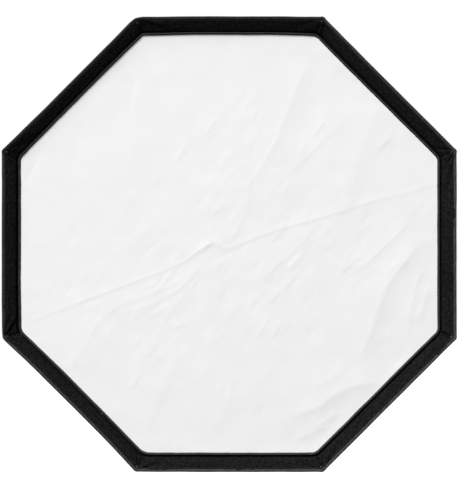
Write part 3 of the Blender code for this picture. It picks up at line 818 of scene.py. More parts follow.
def octagon_grid(apothem, divisions):
    """Return a square grid in the XZ plane, trimmed to an octagon."""
    bm = bmesh.new()
    bmesh.ops.create_grid(bm, x_segments=divisions, y_segments=divisions, size=apothem)
    for vertex in bm.verts:
        vertex.co = Vector((vertex.co.x, 0.0, vertex.co.y))
    for way in (STEP, 3 * STEP, 5 * STEP, 7 * STEP):
        normal = Vector((math.cos(way), 0.0, math.sin(way)))
        everything = bm.verts[:] + bm.edges[:] + bm.faces[:]
        bmesh.ops.bisect_plane(bm, geom=everything, plane_co=normal * apothem, plane_no=normal,
                               clear_outer=True)
    return bm


def refine_near(bm, folds):
    """Split the faces that lie near the given folds, so that a narrow crease stays crisp."""
    centres = np.array([(f.calc_center_median().x, f.calc_center_median().z) for f in bm.faces])
    near = np.zeros(len(centres), bool)
    for points, _, width in folds:
        near |= np.abs(fold_height(centres, points, 1.0, width)) > 0.15 * MM
    chosen = {edge for face, hit in zip(bm.faces, near) if hit for edge in face.edges}
    bmesh.ops.subdivide_edges(bm, edges=list(chosen), cuts=1, use_grid_fill=True)


def edge_distance(places, apothem):
    """Distance from each place to the octagon's nearest side."""
    ways = np.arange(SIDES) * STEP
    reach = places @ np.array([np.cos(ways), np.sin(ways)])
    return apothem - reach.max(axis=1)


def soft_noise(places, size, seed, depth=3):
    """Smooth noise over a sheet, with bumps of about the given size in metres."""
    return np.array([noise.fractal(Vector((x / size, z / size, seed)), 0.7, 2.0, depth) for x, z in places])


def combed(places):
    """Places turned and stretched, so that noise on them makes streaks along the way of the pulls."""
    way = math.radians(PULL_WAY)
    along = places @ np.array([math.cos(way), math.sin(way)])
    across = places @ np.array([-math.sin(way), math.cos(way)])
    return np.column_stack([along / STREAK_LENGTH, across / STREAK_WIDTH])


def sheet_from_grid(name, bm, height, y, material):
    """Turn a trimmed grid into a cloth sheet whose map is in metres."""
    layer = bm.loops.layers.uv.new("cloth_map")
    for face in bm.faces:
        for loop in face.loops:
            loop[layer].uv = (loop.vert.co.x, loop.vert.co.z)
    for vertex, rise in zip(bm.verts, height):
        vertex.co.y = y - rise
    bmesh.ops.recalc_face_normals(bm, faces=bm.faces[:])
    bm.faces.ensure_lookup_table()
    if bm.faces[0].normal.y > 0:
        bmesh.ops.reverse_faces(bm, faces=bm.faces[:])
    mesh = bpy.data.meshes.new(name)
    bm.to_mesh(mesh)
    bm.free()
    mesh.materials.append(material)
    mesh.shade_smooth()
    sheet = bpy.data.objects.new(name, mesh)
    bpy.context.scene.collection.objects.link(sheet)
    return sheet


def follow_edge(sheet, places, inset):
    """Draw the border of a sheet in or out with its binding."""
    turn = np.arctan2(places[:, 1], places[:, 0])
    facing = np.round(turn / STEP) * STEP
    move = (side_shift(turn, EDGE_SHIFTS) - EDGE_DRAW) * np.clip(1 - inset / 0.05, 0, 1)
    for vertex, way, push in zip(sheet.data.vertices, facing, move):
        vertex.co.x += push * math.cos(way)
        vertex.co.z += push * math.sin(way)


def build_diffuser():
    """White front cloth with its creases, pulls along the edge and a slight belly."""
    bm = octagon_grid(SHEET_APOTHEM, GRID)
    refine_near(bm, [fold for fold in ALL_FOLDS if fold[2] < REFINE_WIDTH])
    places = np.array([(v.co.x, v.co.z) for v in bm.verts])
    inset = edge_distance(places, SHEET_APOTHEM)
    hold = 1 - np.exp(-(inset / 0.012) ** 2)
    height = sum(fold_height(places, *fold) for fold in ALL_FOLDS)
    height = height + BILLOW * soft_noise(places, 0.18, 3.0)
    height = height + STREAK_HEIGHT * soft_noise(combed(places), 1.0, 5.0)
    turn = np.arctan2(places[:, 1], places[:, 0])
    pulls = np.sin(turn * 61 + 3 * np.sin(turn * 7)) * np.exp(-inset / 0.016) * (1 - np.exp(-inset / 0.004))
    upper = np.clip(places[:, 1] / SHEET_APOTHEM + 0.25, 0, 1)
    dip = (0.1 + 0.3 * upper) * (1 - np.exp(-inset / 0.014)) + 0.7 * upper * (1 - np.exp(-inset / 0.045))
    dip = dip + 1.1 * np.clip(places[:, 1] / SHEET_APOTHEM, 0, 1) ** 4 * (1 - np.exp(-inset / 0.05))
    height = height * hold + 0.0001 * pulls - dip * MM
    sheet = sheet_from_grid("diffuser_cloth", bm, height, CLOTH_Y, diffuser_cloth)
    follow_edge(sheet, places, inset)
    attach(sheet, "front_diffuser")
    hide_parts("diffuser_panel")
    return count(sheet)


diffuser = build_diffuser()


# %% [markdown]
# ## The shell
#
# The shell's shape follows a rule, so it is worked out from the CAD model's own ridge line. Over each rod
# the cloth follows the rod's arc. Between rods it is pulled straight, and because the rods bow
# outwards, the pull draws the middle of each panel in by up to 8 mm. Near the seams the
# thread gathers the cloth into small puckers.

# %% Shell ridge
def read_ridge(node):
    """Return (radius, y) points of the shell's outer and inner ridge, from the collar to the rim."""
    spots = {(round(v.co.x, 5), round(v.co.y, 5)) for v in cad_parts[node].data.vertices}
    spots = np.array(sorted(spots))
    outer, inner = [], []
    for i, spot in enumerate(spots):
        gaps = np.linalg.norm(spots - spot, axis=1)
        gaps[i] = 1.0
        mate = spots[gaps.argmin()]
        (outer if (spot - mate).sum() > 0 else inner).append(spot)
    scale = np.array([1 / math.cos(HALF), 1.0])
    return [np.array(sorted(side, key=lambda s: s[0])) * scale for side in (outer, inner)]


def fit_circle(points):
    """Return the centre and radius of the circle that fits the points best."""
    table = np.column_stack([2 * points, np.ones(len(points))])
    answer = np.linalg.lstsq(table, (points ** 2).sum(axis=1), rcond=None)[0]
    centre = answer[:2]
    return centre, math.sqrt(answer[2] + centre @ centre)


OUTER_RIDGE, INNER_RIDGE = read_ridge("shell_panel_1")
RIDGE_CENTRE, RIDGE_RADIUS = fit_circle(OUTER_RIDGE[:-1])
LINING_GAP = RIDGE_RADIUS - fit_circle(INNER_RIDGE[:-1])[1]
RIDGE_FIRST = math.atan2(*(OUTER_RIDGE[0] - RIDGE_CENTRE)[::-1])
RIDGE_LAST = math.atan2(*(OUTER_RIDGE[-2] - RIDGE_CENTRE)[::-1])
RIDGE_LENGTH = RIDGE_RADIUS * abs(RIDGE_FIRST - RIDGE_LAST)
print("ridge arc radius", round(RIDGE_RADIUS, 4), "length", round(RIDGE_LENGTH, 4))


# %% Shell
SAG = 0.008                   # how far the middle of a panel is drawn in
# The cloth's declared cut, in metres and square metres. Both are rough figures, not worked out from the
# The CAD model's eight panels have 1.037 square metres of cloth.
PUCKER = 0.0022               # height of the gathers beside a seam
DRAPE = 0.0036                # height of the loose waves in a panel
PANEL_STEPS = 24
STATIONS = 70


def ridge_point(share, lift=0.0):
    """Return (radius, y) on the ridge. The share runs from the collar, 0, to the rim, 1."""
    arc_share = min(share / 0.965, 1.0)
    angle = RIDGE_FIRST + (RIDGE_LAST - RIDGE_FIRST) * arc_share
    reach = RIDGE_RADIUS + lift
    point = RIDGE_CENTRE + reach * np.array([math.cos(angle), math.sin(angle)])
    if share > 0.965:
        end = OUTER_RIDGE[-1] + np.array([lift * 0.8, 0.0])
        point = point + (end - point) * (share - 0.965) / 0.035
    return point


def corner_cut(k, edge, share):
    """How far a rounded corner of the rim lies inside the sharp one, at a distance along the edge."""
    radius = OUTER_CORNERS[k % SIDES]
    reach = radius * math.tan(HALF)
    near = max(0.0, 1 - edge / reach) ** 2
    return radius * (1 / math.cos(HALF) - 1) * near * max(0.0, (share - 0.9) / 0.1)


def shell_loop(share, lift):
    """Return the points round the shell at a share of its depth, lifted off the cloth."""
    radius, y = ridge_point(share, lift)
    apothem = radius * math.cos(HALF)
    next_radius, next_y = ridge_point(min(share + 0.01, 1.0), lift)
    last_radius, last_y = ridge_point(max(share - 0.01, 0.0), lift)
    slope = Vector((next_radius - last_radius, next_y - last_y)).normalized()
    outward = (-slope.y, slope.x)
    points = []
    for k in range(SIDES):
        middle = k * STEP
        for i in range(PANEL_STEPS):
            across = 2 * i / PANEL_STEPS - 1
            side = across * apothem * math.tan(HALF)
            belly = SAG * math.sin(math.pi * min(share, 0.98)) ** 0.9 * (1 - across * across)
            edge = apothem * math.tan(HALF) * (1 - abs(across))
            run = share * RIDGE_LENGTH
            place = Vector((run / 0.013, k * 3.1 + (1 if across > 0 else 0), 0.0))
            pucker = PUCKER * noise.noise(place) * math.exp(-edge / 0.018) * (1 - math.exp(-edge / 0.003))
            drape = DRAPE * noise.fractal(Vector((run / 0.12, side / 0.07, k * 5.7)), 0.7, 2.0, 3)
            drape *= math.sin(math.pi * min(share, 0.99)) ** 0.5 * (1 - across ** 4)
            move = -belly + pucker + drape
            reach = apothem + outward[0] * move
            corner = k if across > 0 else k - 1
            cut = corner_cut(corner, edge, share)
            points.append((
                reach * math.cos(middle) - side * math.sin(middle) - cut * math.cos(CORNERS[corner]),
                y + outward[1] * move,
                reach * math.sin(middle) + side * math.cos(middle) - cut * math.sin(CORNERS[corner])))
    points = np.array(points)
    pull = side_shift(np.arctan2(points[:, 2], points[:, 0]), RIM_SHIFTS) * max(0.0, (share - 0.7) / 0.3) ** 2
    facing = np.repeat(np.arange(SIDES) * STEP, PANEL_STEPS)
    points[:, 0] += pull * np.cos(facing)
    points[:, 2] += pull * np.sin(facing)
    return points


def build_shell():
    """One sewn shell: black cloth outside, silver lining inside."""
    shares = [i / STATIONS for i in range(STATIONS + 1)]
    loops = [shell_loop(share, 0.0) for share in shares]
    loops += [shell_loop(share, -LINING_GAP * 0.8) for share in reversed(shares)]
    outside = STATIONS
    shell = loft("shell_cloth", loops, [shell_cloth, lining], slot_of=lambda r: 0 if r < outside else 1)
    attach(shell, "softbox")
    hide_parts(*[f"shell_panel_{k}" for k in range(1, SIDES + 1)])
    area = sum(p.area for p in shell.data.polygons) / 2
    print("shell cloth", round(area, 3), "square metres")
    return count(shell)


shell = build_shell()

# %% [markdown]
# Every seam of the shell lies over a rod and is bound with a folded tape. Each tape is a thin strip that
# follows the ridge and drops a little onto the panel on either side. The same way of finding a place on
# a panel also serves the pockets at the corners.

# %% Places on the shell
def shell_place(share, k, from_edge, lift):
    """Return a point on the shell near ridge k, at a signed distance from the ridge across it."""
    radius, y = ridge_point(share, lift)
    apothem = radius * math.cos(HALF)
    panel = k + (1 if from_edge > 0 else 0)
    edge = apothem * math.tan(HALF)
    side = (edge - abs(from_edge)) * (-1 if from_edge > 0 else 1)
    middle = panel * STEP
    cut = corner_cut(k, abs(from_edge), share)
    return (apothem * math.cos(middle) - side * math.sin(middle) - cut * math.cos(CORNERS[k]), y,
            apothem * math.sin(middle) + side * math.cos(middle) - cut * math.sin(CORNERS[k]))


def strip_over_ridge(k, first, last, widths, lift, thickness, steps):
    """Return closed loops of points for a strip over ridge k. widths gives the half width at a share."""
    section = 9
    rows = []
    for face in (1, -1):
        order = range(section) if face == 1 else reversed(range(section))
        for j in order:
            across = 2 * j / (section - 1) - 1
            line = []
            for i in range(steps + 1):
                share = first + (last - first) * i / steps
                wave = 0.0003 * noise.noise(Vector((share * 60, across * 2, k * 4.3)))
                height = lift + (thickness if face == 1 else 0.0) * (1 - across ** 6) + wave
                line.append(shell_place(share, k, across * widths(i / steps), height))
            rows.append(line)
    return rows


def join(name, pieces):
    """Join several mesh objects into one."""
    bm = bmesh.new()
    for piece in pieces:
        bm.from_mesh(piece.data)
    mesh = bpy.data.meshes.new(name)
    bm.to_mesh(mesh)
    bm.free()
    for material in pieces[0].data.materials:
        mesh.materials.append(material)
    mesh.shade_smooth()
    joined = bpy.data.objects.new(name, mesh)
    bpy.context.scene.collection.objects.link(joined)
    for piece in pieces:
        bpy.data.objects.remove(piece)
    return joined


# %% Seam tapes and corner pockets
TAPE_HALF = 0.0075
POCKET_HALF = 0.024


def build_seam_tapes():
    """Bound seams over the eight rods."""
    strips = []
    for k in range(SIDES):
        rows = strip_over_ridge(k, 0.025, 0.985, lambda t: TAPE_HALF, 0.0006, 0.0008, 90)
        strips.append(loft("strip", rows, [hem_cloth], path_closed=False))
    tapes = join("seam_tapes", strips)
    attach(tapes, "softbox")
    return count(tapes)


def build_pockets():
    """Webbing pockets that hold the rod tips at the corners."""
    def outline(t):
        return POCKET_HALF * (0.45 + 0.55 * t ** 0.5) * min(1.0, 0.25 + 6 * t)
    strips = []
    for k in range(SIDES):
        rows = strip_over_ridge(k, 0.90, 0.978, outline, 0.0012, 0.0014, 24)
        strips.append(loft("strip", rows, [webbing], path_closed=False))
    pockets = join("corner_pockets", strips)
    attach(pockets, "softbox")
    return count(pockets)


NUB = (0.0048, 0.0060, 0.0042)                     # half sizes: outwards, along the axis, along the rim
NUB_INSETS = 0.0077 + OUTER_CORNERS * (1 / math.cos(HALF) - 1)
NUB_BACK = 0.0072             # how far a nub's middle lies behind the front edge


def build_nubs():
    """Rounded ends of the pockets, where each rod tip presses the cloth outwards."""
    bm = bmesh.new()
    for k, corner in enumerate(CORNERS):
        made = bmesh.ops.create_icosphere(bm, subdivisions=3, radius=1.0)["verts"]
        reach = RIM / math.cos(HALF) - NUB_INSETS[k]
        for vertex in made:
            out, deep, side = (vertex.co[i] * NUB[i] for i in range(3))
            lump = 1 + 0.12 * noise.noise(vertex.co * 1.7 + Vector((k, 0, 0)))
            out = reach + out * lump
            side = side * lump
            vertex.co = Vector((out * math.cos(corner) - side * math.sin(corner), FRONT_Y + NUB_BACK + deep,
                                out * math.sin(corner) + side * math.cos(corner)))
    mesh = bpy.data.meshes.new("pocket_ends")
    layer = bm.loops.layers.uv.new("cloth_map")
    for face in bm.faces:
        for loop in face.loops:
            loop[layer].uv = (loop.vert.co.x + loop.vert.co.y, loop.vert.co.z)
    bm.to_mesh(mesh)
    bm.free()
    mesh.materials.append(hem_cloth)
    mesh.shade_smooth()
    nubs = bpy.data.objects.new("pocket_ends", mesh)
    bpy.context.scene.collection.objects.link(nubs)
    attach(nubs, "softbox")
    return count(nubs)


seam_tapes = build_seam_tapes()
pockets = build_pockets()
pocket_ends = build_nubs()

# %% [markdown]
# The cloth is closed at the back by an elastic collar that grips the speed ring. It starts as a round
# cuff and opens out to the eight-sided shell, and the spare cloth makes small gathers. A loft from a
# circle to the octagon, with a wave round it, gives that shape.

# %% Rear collar
COLLAR_REACH = 0.026          # share of the shell's depth where the collar is sewn on
COLLAR_STEPS = 16
GATHERS = 76


def collar_loop(t, inside):
    """Return the points round the collar. t runs from the cuff's rear edge, 0, to the shell, 1."""
    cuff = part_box("rear_collar")[1].y
    radius, y = ridge_point(COLLAR_REACH, 0.0024)
    grip = RING_RADIUS + 0.0022
    points = []
    around = SIDES * 48
    for i in range(around):
        angle = 2 * math.pi * i / around
        local = (angle + HALF) % STEP - HALF
        far = radius * math.cos(HALF) / math.cos(local)
        bend = max(0.0, (t - 0.42) / 0.58)
        spread = grip + (far - grip) * bend ** 1.25
        depth = cuff + (y - cuff) * (0.55 * t + 0.45 * t * t)
        elastic = 0.0010 * math.exp(-((t - 0.10) / 0.07) ** 2) + 0.0008 * math.exp(-((t - 0.34) / 0.05) ** 2)
        stray = noise.noise(Vector((6 * math.cos(angle), 6 * math.sin(angle), 0)))
        gather = 0.0009 * math.sin(GATHERS * angle + 2.2 * stray)
        gather *= math.sin(math.pi * min(1.0, t + 0.12)) ** 0.7
        wall = -0.0012 if inside else 0.0
        out = spread + elastic + max(gather, -0.0006) + wall * (1 - bend)
        rear = depth - wall * bend + gather * bend * 0.6
        points.append((out * math.cos(angle), rear, out * math.sin(angle)))
    return points


def build_collar():
    """Gathered elastic collar round the speed ring."""
    outside = [collar_loop(i / COLLAR_STEPS, False) for i in range(COLLAR_STEPS + 1)]
    inside = [collar_loop(i / COLLAR_STEPS, True) for i in reversed(range(COLLAR_STEPS + 1))]
    collar = loft("gathered_collar", outside + inside, [shell_cloth])
    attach(collar, "softbox")
    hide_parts("rear_collar")
    area = sum(p.area for p in collar.data.polygons) / 2
    print("collar cloth", round(area, 4), "square metres")
    return count(collar)


collar = build_collar()

# %% [markdown]
# A loop tape is sewn behind the lip. The diffuser's hook tape presses against it. It is a plain flat
# strip here, with the short fuzz of loops in its material.

# %% Loop tape
# Woven tape with a field of tiny loops: fuzzy, and greyer than the lip where the light skims it.
loop_cloth = cloth_material("black_loop_tape", "#141414", "#242424", 2.0 * MM, 0.004, 0.0, 0.1, 0.0010)


TAPE_WIDTH = 0.025


def build_loop_tape():
    """Loop tape behind the lip."""
    low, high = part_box("rim_loop_tape")
    outer = high.x
    slope = LIP_RECESS / (LIP_OUTER - BINDING_OUTER)
    loops = []
    for face in (0.0, 0.0011):
        shares = (0.0, 0.25, 0.5, 0.75, 1.0) if face == 0.0 else (1.0, 0.75, 0.5, 0.25, 0.0)
        for share in shares:
            path = Path(outer - TAPE_WIDTH * share, 0.006 + 0.010 * share)
            y = low.y + 0.0022 + slope * TAPE_WIDTH * share * 0.95 + face
            loops.append(path.line(y, side_inset(path) * (1 - 0.4 * share)))
    tape = loft("loop_tape", loops, [loop_cloth])
    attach(tape, "softbox")
    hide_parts("rim_loop_tape")
    return count(tape)


loop_tape = build_loop_tape()

# %% [markdown]
# ## The inner baffle
#
# Half way down the box hangs a second, smaller cloth that spreads the flash. Only its eight corners are
# held, by elastic, so the cloth sags a little in its bound edge. The simulation pins the whole of that
# edge, because it is stiff beside the cloth.

# %% Baffle cloth
BAFFLE_Y = sum(v.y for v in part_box("inner_baffle")) / 2
BAFFLE_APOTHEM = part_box("inner_baffle")[1].x
BAFFLE_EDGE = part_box("baffle_binding")[1].x
BAFFLE_CUT = BAFFLE_APOTHEM + 0.002      # the cloth is cut a little wider, to go into its edge
BAFFLE_ROLL = 0.0030
BAFFLE_GRID = 96
SETTLE_FRAMES = 16


def relax_cloth(sheet, held, frames):
    """Let a sheet settle under its own weight, with the held vertices pinned, and keep the result."""
    group = sheet.vertex_groups.new(name="held")
    group.add(held, 1.0, "REPLACE")
    cloth = sheet.modifiers.new("settle", "CLOTH")
    cloth.settings.vertex_group_mass = "held"
    cloth.settings.quality = 6
    cloth.settings.mass = 0.10
    cloth.settings.tension_stiffness = 40.0
    cloth.settings.compression_stiffness = 40.0
    cloth.settings.bending_stiffness = 0.6
    cloth.collision_settings.use_collision = False
    cloth.point_cache.frame_start = 1
    cloth.point_cache.frame_end = frames
    scene = bpy.context.scene
    for frame_number in range(1, frames + 1):
        scene.frame_set(frame_number)
    settled = bpy.data.meshes.new_from_object(sheet.evaluated_get(bpy.context.evaluated_depsgraph_get()))
    sheet.modifiers.remove(cloth)
    old = sheet.data
    sheet.data = settled
    bpy.data.meshes.remove(old)
    sheet.vertex_groups.clear()
    settled.shade_smooth()
    scene.frame_set(1)
    return sheet


def build_baffle():
    """White inner cloth, settled in its bound edge."""
    bm = octagon_grid(BAFFLE_CUT, BAFFLE_GRID)
    places = np.array([(v.co.x, v.co.z) for v in bm.verts])
    inset = edge_distance(places, BAFFLE_CUT)
    height = 0.0030 * soft_noise(places, 0.14, 21.0) * (1 - np.exp(-(inset / 0.03) ** 2))
    sheet = sheet_from_grid("baffle_cloth", bm, height, BAFFLE_Y, baffle_cloth)
    held = [i for i, gap in enumerate(inset) if gap < 0.004]
    relax_cloth(sheet, held, SETTLE_FRAMES)
    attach(sheet, "softbox")
    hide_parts("inner_baffle")
    return count(sheet)


def build_baffle_edge():
    """Rolled white edge of the baffle."""
    loops = []
    steps = 10
    for i in range(steps):
        angle = 2 * math.pi * i / steps
        reach = BAFFLE_ROLL * math.cos(angle)
        path = Path(BAFFLE_EDGE - BAFFLE_ROLL + reach, 0.010 + reach, 6, 24)
        wave = 0.0003 * ripple(path, 0.05, 31.0)
        loops.append(path.line(BAFFLE_Y + 0.0014 * math.sin(angle) + wave, wave))
    edge = loft("baffle_edge", loops, [elastic_web])
    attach(edge, "softbox")
    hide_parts("baffle_binding")
    return count(edge)


baffle = build_baffle()
baffle_edge = build_baffle_edge()

# %% [markdown]
# Each corner of the baffle hangs from its rod on a ribbed elastic strap, with a loop round the rod. The
# strap is drawn once in the plane of a rod, then turned about the optical axis for each corner.

# %% Baffle straps
STRAP_WIDTH = 0.012
STRAP_THICKNESS = 0.0012
ROD_SIZE = 0.0025


def rod_line():
    """Return the arc of a rod as (centre, radius) in the plane of radius and y."""
    return RIDGE_CENTRE, RIDGE_RADIUS - ROD_SIZE - 0.0043


def strap_loops():
    """Return closed sections of the strap: sewn to the baffle, out to the rod, and round it."""
    centre, reach = rod_line()
    rod_r = centre[0] + math.sqrt(reach ** 2 - (BAFFLE_Y - centre[1]) ** 2)
    out = (np.array([rod_r, BAFFLE_Y]) - centre) / reach
    start = BAFFLE_EDGE / math.cos(HALF) - 0.014
    reach_out = rod_r - 0.0046 - start
    spine = [(start + reach_out * i / 20, BAFFLE_Y - 0.0016 * (i < 3), (0.0, 1.0)) for i in range(21)]
    turn = math.atan2(out[1], out[0])
    for i in range(1, 19):
        angle = math.pi + (2 * math.pi - 0.7) * i / 18 + 0.1
        ring = ROD_SIZE + 0.0012
        spine.append((rod_r + ring * math.cos(angle), BAFFLE_Y + ring * math.sin(angle),
                      (math.cos(angle), math.sin(angle))))
    loops = []
    ribs = 9
    for face in (1, -1):
        for j in range(ribs) if face == 1 else reversed(range(ribs)):
            across = (j / (ribs - 1) - 0.5) * STRAP_WIDTH
            rib = STRAP_THICKNESS / 2 * (1.0 if j % 2 == 0 else 0.72)
            loops.append([(r + face * rib * n[0], y + face * rib * n[1], across) for r, y, n in spine])
    return np.array(loops)


def build_straps():
    """Eight ribbed elastic straps."""
    shape = strap_loops()
    for k, corner in enumerate(CORNERS):
        way, side = (math.cos(corner), math.sin(corner)), (-math.sin(corner), math.cos(corner))
        placed = [[(r * way[0] + t * side[0], y, r * way[1] + t * side[1]) for r, y, t in row]
                  for row in shape]
        strap = loft(f"elastic_strap_{k + 1}", placed, [elastic_web], path_closed=False)
        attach(strap, "softbox")
        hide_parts(f"baffle_strap_{k + 1}")
    return count(strap)


build_straps()

# %% [markdown]
# ## Stitching
#
# Stitches follow paths, so a small Geometry Nodes tree makes them: it spaces points along a path, puts
# a bead of thread on each, turned along the path, and varies their length a little with a fixed seed.
# A real stitch here is 3 mm long. They are drawn 3.6 mm long and 5 mm apart, to show.

# %% Stitch tree
def stitch_tree():
    """Geometry Nodes: beads of thread along a path of edges."""
    tree = bpy.data.node_groups.new("stitch_row", "GeometryNodeTree")
    sockets = tree.interface
    sockets.new_socket("Path", in_out="INPUT", socket_type="NodeSocketGeometry")
    for name in ("Pitch", "Stitch Length", "Thread"):
        sockets.new_socket(name, in_out="INPUT", socket_type="NodeSocketFloat")
    sockets.new_socket("Finish", in_out="INPUT", socket_type="NodeSocketMaterial")
    sockets.new_socket("Stitches", in_out="OUTPUT", socket_type="NodeSocketGeometry")
    given = add_node(tree, "NodeGroupInput").outputs
    curve = add_node(tree, "GeometryNodeMeshToCurve", None, None, {"Mesh": given["Path"]})
    row = add_node(tree, "GeometryNodeResampleCurve", {"mode": "LENGTH"}, None,
                   {"Curve": curve.outputs["Curve"], "Length": given["Pitch"]})
    way = add_node(tree, "GeometryNodeInputTangent")
    turn = add_node(tree, "FunctionNodeAlignRotationToVector", {"axis": "X"}, None,
                    {"Vector": way.outputs["Tangent"]})
    bead = add_node(tree, "GeometryNodeMeshIcoSphere", None, {"Radius": 0.5, "Subdivisions": 1})
    vary = add_node(tree, "FunctionNodeRandomValue", {"data_type": "FLOAT"}, {"Seed": 5})
    vary.inputs[2].default_value = 0.85
    vary.inputs[3].default_value = 1.1
    length = add_node(tree, "ShaderNodeMath", {"operation": "MULTIPLY"})
    tree.links.new(given["Stitch Length"], length.inputs[0])
    tree.links.new(vary.outputs[1], length.inputs[1])
    size = add_node(tree, "ShaderNodeCombineXYZ", None, None,
                    {"X": length.outputs["Value"], "Y": given["Thread"], "Z": given["Thread"]})
    placed = add_node(tree, "GeometryNodeInstanceOnPoints", None, None, {
        "Points": row.outputs["Curve"], "Instance": bead.outputs["Mesh"],
        "Rotation": turn.outputs["Rotation"], "Scale": size.outputs["Vector"]})
    real = add_node(tree, "GeometryNodeRealizeInstances", None, None,
                    {"Geometry": placed.outputs["Instances"]})
    painted = add_node(tree, "GeometryNodeSetMaterial", None, None,
                       {"Geometry": real.outputs["Geometry"], "Material": given["Finish"]})
    add_node(tree, "NodeGroupOutput", None, None, {"Stitches": painted.outputs["Geometry"]})
    return tree


STITCHES = stitch_tree()


def sew(name, paths, closed, body, finish, pitch=5 * MM, length=3.6 * MM, thread=0.7 * MM):
    """Sew rows of stitches along paths of points, as one plain mesh on one body."""
    vertices, edges = [], []
    for path in paths:
        first = len(vertices)
        vertices.extend(tuple(p) for p in path)
        edges.extend((first + i, first + i + 1) for i in range(len(path) - 1))
        if closed:
            edges.append((len(vertices) - 1, first))
    guide_mesh = bpy.data.meshes.new("guide")
    guide_mesh.from_pydata(vertices, edges, [])
    guide = bpy.data.objects.new("guide", guide_mesh)
    bpy.context.scene.collection.objects.link(guide)
    rows = guide.modifiers.new("rows", "NODES")
    rows.node_group = STITCHES
    given = {"Pitch": pitch, "Stitch Length": length, "Thread": thread, "Finish": finish}
    for item in STITCHES.interface.items_tree:
        if item.in_out == "INPUT" and item.name in given:
            rows[item.identifier] = given[item.name]
    mesh = bpy.data.meshes.new_from_object(guide.evaluated_get(bpy.context.evaluated_depsgraph_get()))
    guide.modifiers.remove(rows)
    bpy.data.objects.remove(guide)
    mesh.shade_smooth()
    stitches = bpy.data.objects.new(name, mesh)
    bpy.context.scene.collection.objects.link(stitches)
    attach(stitches, body)
    return count(stitches)


# %% Threads
def thread_material(name, colour):
    """Bonded polyester thread: twisted, with a slight waxy shine."""
    material, tree, shader = start_material(name, {"Roughness": 0.6, "Specular IOR Level": 0.2})
    place = add_node(tree, "ShaderNodeTexCoord").outputs["Object"]
    tone = mottle_colour(tree, place, 0.01, colour[0], colour[1])
    tree.links.new(tone, shader.inputs["Base Color"])
    add_bump(tree, shader, [(grain_height(tree, place, 0.001), 0.0002)])
    return material


# Bonded thread on dark cloth shows as a row of small raised beads, on tape a little paler than the tape.
black_thread = thread_material("black_polyester_thread", ("#141414", "#222222"))
grey_thread = thread_material("grey_polyester_thread", ("#2c2c2c", "#404040"))
seam_thread = thread_material("dark_grey_polyester_thread", ("#484848", "#5c5c5c"))
white_thread = thread_material("white_polyester_thread", ("#c8c8c8", "#dcdcdc"))

# %% [markdown]
# The rows: one beside the hem on the lip, one along the diffuser's rolled edge, two on every seam
# tape, two on each corner pocket, one where the collar meets the shell, and one on the baffle's edge.

# %% Sewing
def lip_row(inset, lift):
    """A path round the lip at a distance in from its outer edge."""
    share = inset / (LIP_OUTER - LIP_END)
    path = lip_path(share)
    return path.line(FRONT_Y + LIP_RECESS * share - lift, side_inset(path) * (1 - 0.5 * share))


def binding_row():
    """A path along the outer part of the diffuser's rolled edge."""
    path = Path(BINDING_MIDDLE + 0.0006, BINDING_CORNERS)
    return path.line(BINDING_FRONT_Y - 0.0004, binding_wander(path))


def tape_rows():
    """Paths along both edges of every seam tape."""
    shares = [0.03 + 0.95 * i / 80 for i in range(81)]
    return [[shell_place(s, k, side * (TAPE_HALF - 0.0018), 0.0015) for s in shares]
            for k in range(SIDES) for side in (-1, 1)]


def pocket_rows():
    """Paths along both edges of every corner pocket."""
    shares = [0.915 + 0.058 * i / 20 for i in range(21)]
    return [[shell_place(s, k, side * (POCKET_HALF * 0.78), 0.0033) for s in shares]
            for k in range(SIDES) for side in (-1, 1)]


def baffle_row():
    """A path along the baffle's rolled edge."""
    return Path(BAFFLE_EDGE - BAFFLE_ROLL, 0.010, 6, 24).line(BAFFLE_Y - 0.0015)


def collar_row():
    """A path round the collar where it is sewn to the shell."""
    radius, y = ridge_point(COLLAR_REACH * 0.9, 0.0040)
    path = Path(radius * math.cos(HALF), 0.002, 2, 30)
    return path.line(y)


sew("hem_stitches", [lip_row(0.0045, 0.0002)], True, "softbox", black_thread)
sew("binding_stitches", [binding_row()], True, "front_diffuser", grey_thread, thread=0.5 * MM)
sew("seam_stitches", tape_rows(), False, "softbox", seam_thread)
sew("pocket_stitches", pocket_rows(), False, "softbox", seam_thread)
sew("baffle_stitches", [baffle_row()], True, "softbox", white_thread)
sew("collar_stitches", [collar_row()], True, "softbox", black_thread)

# %% [markdown]
# ## Metal, nylon and vinyl
#
# The hard parts keep their CAD shapes and get their finishes here. The bayonet and its retainer are
# turned aluminium, so fine rings run round the optical axis. The speed ring and sockets are cast, then
# blasted and anodised black: an even, fine grain. The screws and rods are steel. The knob is
# moulded nylon with a spark-eroded grain.

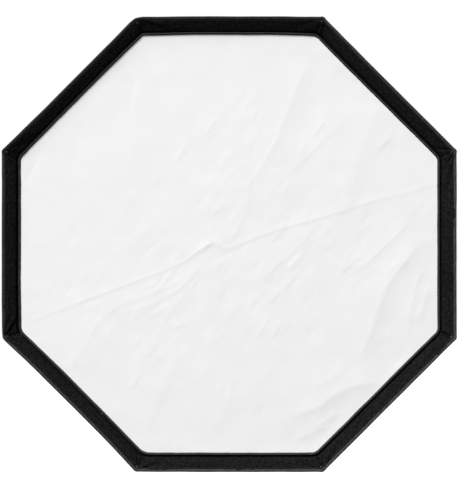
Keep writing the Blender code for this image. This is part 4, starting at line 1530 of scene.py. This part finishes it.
# %% Hard finishes
def turned_aluminium():
    """Turned aluminium: bright, with fine rings left by the tool round the axis."""
    material, tree, shader = start_material("turned_aluminium", {"Metallic": 1.0, "Roughness": 0.34})
    place = add_node(tree, "ShaderNodeTexCoord").outputs["Object"]
    tone = mottle_colour(tree, place, 0.02, "#c2c4c6", "#d6d8da")
    tree.links.new(tone, shader.inputs["Base Color"])
    rings = add_node(tree, "ShaderNodeTexWave", {"wave_type": "RINGS", "rings_direction": "Y"},
                     {"Scale": WAVE_PERIOD / (0.8 * MM), "Distortion": 0.3, "Detail": 2.0}, {"Vector": place})
    add_bump(tree, shader, [(rings.outputs["Fac"], 0.00004), (grain_height(tree, place, 0.002), 0.00002)])
    return material


def grained(name, dark, light, metallic, roughness, grain, depth):
    """A hard surface with an even fine grain, for blasted metal or moulded plastic."""
    material, tree, shader = start_material(name, {"Metallic": metallic, "Roughness": roughness})
    place = add_node(tree, "ShaderNodeTexCoord").outputs["Object"]
    tone = mottle_colour(tree, place, 0.012, dark, light)
    tree.links.new(tone, shader.inputs["Base Color"])
    add_bump(tree, shader, [(grain_height(tree, place, grain), depth)])
    return material


# Turned metal shines in rings. Anodising over blasting gives a soft dark grain. Zinc is bright and a
# little cool. Moulded nylon and vinyl are dull with a fine pebble. Drawn spring steel is smooth and grey.
FINISHES = {
    "bayonet_insert": turned_aluminium(),
    "speed_ring": grained("black_anodised_aluminium", "#17181a", "#222326", 0.6, 0.42, 0.0012, 0.00012),
    "retaining_screw": grained("zinc_plated_steel", "#9fa2a5", "#b9bcc0", 1.0, 0.25, 0.0015, 0.00004),
    "lock_knob": grained("moulded_black_nylon", "#131313", "#1c1c1c", 0.0, 0.5, 0.0010, 0.00015),
    "rod_tip": grained("grey_vinyl", "#5a5a5a", "#6c6c6c", 0.0, 0.55, 0.0020, 0.00010),
    "rod": grained("spring_steel", "#8b8d90", "#a5a7aa", 1.0, 0.30, 0.0030, 0.00004),
}
FINISHES["retaining_ring"] = FINISHES["bayonet_insert"]
FINISHES["rod_socket"] = FINISHES["speed_ring"]


def finish_hard_parts():
    """Give each CAD node that stays in view its finish."""
    done = 0
    for name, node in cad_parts.items():
        family = name.rstrip("0123456789").rstrip("_")
        if family in FINISHES:
            for place in node.material_slots:
                place.material = FINISHES[family]
            done += 1
    return done


print(finish_hard_parts(), "hard parts finished")
